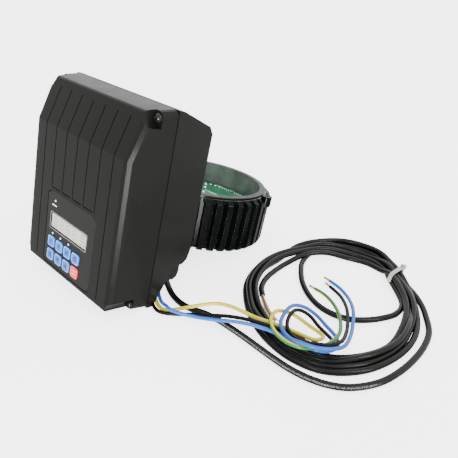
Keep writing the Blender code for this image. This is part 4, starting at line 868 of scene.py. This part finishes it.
def make_keys():
    places = [(name, x, z) for z, names in KEY_ROWS for name, x in zip(names, KEY_COLUMNS)]
    for name, x, z in places:
        red = name == "stop"
        body = f"key_{name}_cap"
        slot = "key_red" if red else "key_blue"
        refined(f"key_{name}", KEY_RED if red else KEY_BLUE, 0.00025, angle=50,
                body=body)
        marks = Shape()
        marks.plate([rounded(x - half, x + half, z - half, z + half, radius)
                     for half, radius in ((KEY_HALF, 0.0024), (KEY_HALF_INNER, 0.0019))],
                    KEY_FRONT - INK)
        marks.index = 1
        if red:
            for middle in (z + 0.0018, z - 0.0018):
                marks.patch(x - 0.0036, x + 0.0036, middle - 0.0009, middle + 0.0009, 0.0006,
                            KEY_FRONT - INK, steps=5)
            marks.done(f"key_{name}_print", slot, KEY_RIM_RED, KEY_RIM_RED, body=body)
        else:
            symbol(marks, name, x, z)
            marks.done(f"key_{name}_print", slot, KEY_RIM_BLUE, KEY_INK, body=body)


make_keys()

WINDOW = (-0.0348, 0.0304)
WINDOW_Z = (0.0503, 0.0659)
WINDOW_FRONT = 0.0012
OVERLAY_FRONT = 0.0003


def make_display():
    """The display pane with the faint, unlit segments of four digits and a side icon row."""
    refined("display_window", DISPLAY, 0.0002, angle=45)
    marks = Shape()
    front = WINDOW_FRONT - INK
    tall, wide, thick = 0.0048, 0.0030, 0.0007
    z = (WINDOW_Z[0] + WINDOW_Z[1]) / 2
    for digit in range(4):
        x = WINDOW[0] + 0.0075 + 0.0120 * digit
        for lift in (-tall, 0.0, tall):
            marks.patch(x - wide + 0.0006, x + wide - 0.0006, z + lift - thick / 2,
                        z + lift + thick / 2, 0.0003, front)
        for side in (-wide, wide):
            for low in (-tall + 0.0006, 0.0006):
                marks.patch(x + side - thick / 2, x + side + thick / 2, z + low,
                            z + low + tall - 0.0012, 0.0003, front)
        marks.patch(x + wide + 0.0014, x + wide + 0.0022, z - tall - 0.0004,
                    z - tall + 0.0004, 0.00035, front, steps=3)
    for row in range(4):
        z = WINDOW_Z[0] + 0.0026 + 0.0035 * row
        marks.patch(WINDOW[1] - 0.0112, WINDOW[1] - 0.0030, z - 0.0006, z + 0.0006, 0.0003,
                    front)
    marks.done("display_segments", "window_clear", SEGMENTS)


make_display()


def make_panel_print():
    """Marks printed on the overlay: a white bar at its upper left and a grey window frame."""
    front = OVERLAY_FRONT - INK
    bar = Shape()
    bar.patch(-0.0352, -0.0262, 0.0748, 0.0760, 0.0004, front)
    bar.done("panel_print_white", "panel_black", PRINT_WHITE)
    edge = Shape()
    edge.plate([rounded(WINDOW[0] - gap, WINDOW[1] + gap, WINDOW_Z[0] - gap,
                        WINDOW_Z[1] + gap, radius)
                for gap, radius in ((0.0016, 0.0012), (0.0012, 0.0009))], front)
    edge.done("panel_print_grey", "panel_black", PRINT_GREY)


make_panel_print()


# ---------------------------------------------------------------- finned can and its board
BORE_RADIUS = 0.0716  # faces nearer the axis, between the two heights, are bare metal
BORE_BOTTOM, BORE_TOP = 0.0472, 0.1064
RIM_RADIUS = 0.0785  # upward faces inside this radius and above this height are machined
RIM_BOTTOM = 0.1055


def make_can():
    can = refined("heatsink_can", COATING, 0.0004, angle=30)
    for finish in (BARE_METAL, MACHINED, EDGE_WEAR_AND_SHEEN):
        can.data.materials.append(finish)
    bare, machined, wear_and_sheen = 1, 2, 3
    # The rounded edges take the paler edge grey: partly wear, partly a painted highlight on
    # the fin edges and the rim's inner edge.
    can.modifiers["edge_radius"].material = wear_and_sheen
    back = DRIVE.inverted()
    turn = back.to_3x3()
    for face in can.data.polygons:
        centre = back @ face.center
        normal = turn @ face.normal
        out = Vector((centre.x, centre.y - CAN_Y, 0.0)).length
        if out < BORE_RADIUS and BORE_BOTTOM < centre.z < BORE_TOP:
            face.material_index = bare
        elif normal.z > 0.7 and centre.z > RIM_BOTTOM and out < RIM_RADIUS:
            face.material_index = machined


make_can()


def ring_places(radius, start, end, count):
    """Spots round the can's axis, from one angle to the other."""
    for i in range(count):
        angle = radians(start + (end - start) * i / (count - 1))
        yield radius * cos(angle), CAN_Y + radius * sin(angle)


# Solder joints: radius and height of the dome.
PIN_JOINT = (0.0009, 0.0010)
CHIP_JOINT = (0.0011, 0.0009)
EDGE_JOINT = (0.0013, 0.0010)
WIRE_JOINT = (0.0022, 0.0013)
CHOKE_JOINT = (0.0024, 0.0014)


def make_power_board():
    refined("power_board", BOARD, 0.0002, 1, angle=50)
    for index in range(1, 4):
        refined(f"power_screw_{index}", STEEL, 0.0002, angle=45)
    joints = Shape()
    top = BOARD_TOP
    for step in range(13):
        joints.dome((-0.0262 + 0.0034 * step, CAN_Y + 0.0570 + 0.0003 * step, top),
                    *PIN_JOINT)
    for step in range(8):
        joints.dome((-0.0162 + 0.0030 * step, CAN_Y + 0.0250, top), *PIN_JOINT)
    for x, y in ((-0.0259, 0.0333), (-0.0122, 0.0170), (-0.0356, 0.0444)):
        joints.dome((x, CAN_Y + y, top), *WIRE_JOINT, sides=16)
    for row in range(3):
        for column in range(16):
            joints.dome((-0.0300 + 0.0040 * column, CAN_Y - 0.0300 + 0.0120 * row, top),
                        *CHIP_JOINT)
    for x, y in (*ring_places(0.0610, 110, 200, 15), *ring_places(0.0600, 240, 318, 13)):
        joints.dome((x, y, top), *EDGE_JOINT)
    for x, y in ((0.034, 0.012), (-0.036, 0.006), (-0.030, -0.040), (0.024, -0.046),
                 (0.042, -0.014), (-0.046, 0.020)):
        joints.dome((x, CAN_Y + y, top), *CHOKE_JOINT, sides=16)
    joints.done("power_board_joints", "board_green", SOLDER)
    chips = Shape()
    for x, y, wide, deep, tall in ((0.012, -0.036, 0.010, 0.0060, 0.0018),
                                   (0.030, 0.040, 0.0060, 0.0040, 0.0014),
                                   (-0.040, -0.016, 0.0050, 0.0070, 0.0016),
                                   (0.046, 0.000, 0.0040, 0.0060, 0.0016)):
        chips.block((x, CAN_Y + y, top + tall / 2), (wide, deep, tall), 0.0002)
    for column in range(9):
        chips.block((-0.0300 + 0.0075 * column, CAN_Y + 0.0060, top + 0.0005),
                    (0.0020, 0.0012, 0.0010), 0.0001)
    chips.done("power_board_chips", "board_green", MODULE)
    lines = Shape()
    thick, film = 0.0003, 0.00008
    for x, y, wide, deep in ((0.012, -0.036, 0.0130, 0.0090), (0.0, -0.018, 0.0660, 0.0100)):
        for dx, dy, a, b in ((0, deep / 2, wide, thick), (0, -deep / 2, wide, thick),
                             (wide / 2, 0, thick, deep), (-wide / 2, 0, thick, deep)):
            lines.block((x + dx, CAN_Y + y + dy, top + film / 2), (a, b, film))
    lines.done("power_board_print", "board_green", PRINT_WHITE)


make_power_board()


# ---------------------------------------------------------------- pieces inside the box
# These show their CAD solids as they are, so they take only a material.
INSIDE = {
    "front_board": BOARD, "control_board": BOARD, "dome_mat": DOMES,
    "display_module": DISPLAY, "bus_capacitor_1": SLEEVE, "bus_capacitor_2": SLEEVE,
    "line_choke": WINDING, "relay": RELAY, "terminal_block": TERMINAL, "ribbon_lead": RIBBON,
    "saddle_gasket": GASKET, "power_module": MODULE, "thermal_pad": PAD,
    "module_pins_1": TIN, "module_pins_2": TIN,
}
for index in range(1, 5):
    INSIDE[f"board_standoff_{index}"] = STEEL
    INSIDE[f"saddle_bolt_{index}"] = STEEL
for node, finish in INSIDE.items():
    for place in NODES[node].material_slots:
        place.material = finish


# ---------------------------------------------------------------- floor and light
def make_floor():
    shape = bmesh.new()
    bmesh.ops.create_grid(shape, x_segments=2, y_segments=2, size=20.0)
    mesh = bpy.data.meshes.new("floor")
    shape.to_mesh(mesh)
    shape.free()
    floor = link("floor", mesh, FLOOR)
    floor.location = (0.0, 0.0, -0.0001)
    floor.visible_glossy = False


def area_light(name, place, aim, size, power, spread=180):
    lamp = bpy.data.lights.new(name, "AREA")
    lamp.shape = "RECTANGLE"
    lamp.size, lamp.size_y = size
    lamp.energy = power
    lamp.spread = radians(spread)
    made = bpy.data.objects.new(name, lamp)
    made.location = place
    made.rotation_euler = (Vector(aim) - Vector(place)).to_track_quat("-Z", "Y").to_euler()
    bpy.context.scene.collection.objects.link(made)


def make_light():
    """A bright tent above and behind, darker towards the front, with three small lamps."""
    world = bpy.data.worlds.new("studio")
    world.use_nodes = True
    nodes, links = world.node_tree.nodes, world.node_tree.links
    aim = nodes.new("ShaderNodeVectorMath")
    aim.operation = "DOT_PRODUCT"
    aim.inputs[1].default_value = (0.0, 0.55, 0.85)
    links.new(nodes.new("ShaderNodeTexCoord").outputs["Generated"], aim.inputs[0])
    level = nodes.new("ShaderNodeMapRange")
    fill(level, {"From Min": 0.05, "From Max": 0.55, "To Min": 1.20, "To Max": 2.1})
    links.new(aim.outputs["Value"], level.inputs["Value"])
    backdrop = nodes["Background"]
    backdrop.inputs["Color"].default_value = (1.0, 1.0, 1.0, 1.0)
    links.new(level.outputs["Result"], backdrop.inputs["Strength"])
    bpy.context.scene.world = world
    area_light("front_box", (0.62, -1.25, 0.90), (0.05, -0.05, 0.10), (0.22, 0.22), 4.0)
    area_light("edge_glint", (0.50, -0.52, 0.05), (0.085, -0.14, 0.12), (0.10, 0.30), 1.7, 60)
    area_light("right_strip", (1.25, 0.1, 0.75), (0.1, 0.0, 0.05), (0.06, 1.1), 7.0)


make_floor()
make_light()
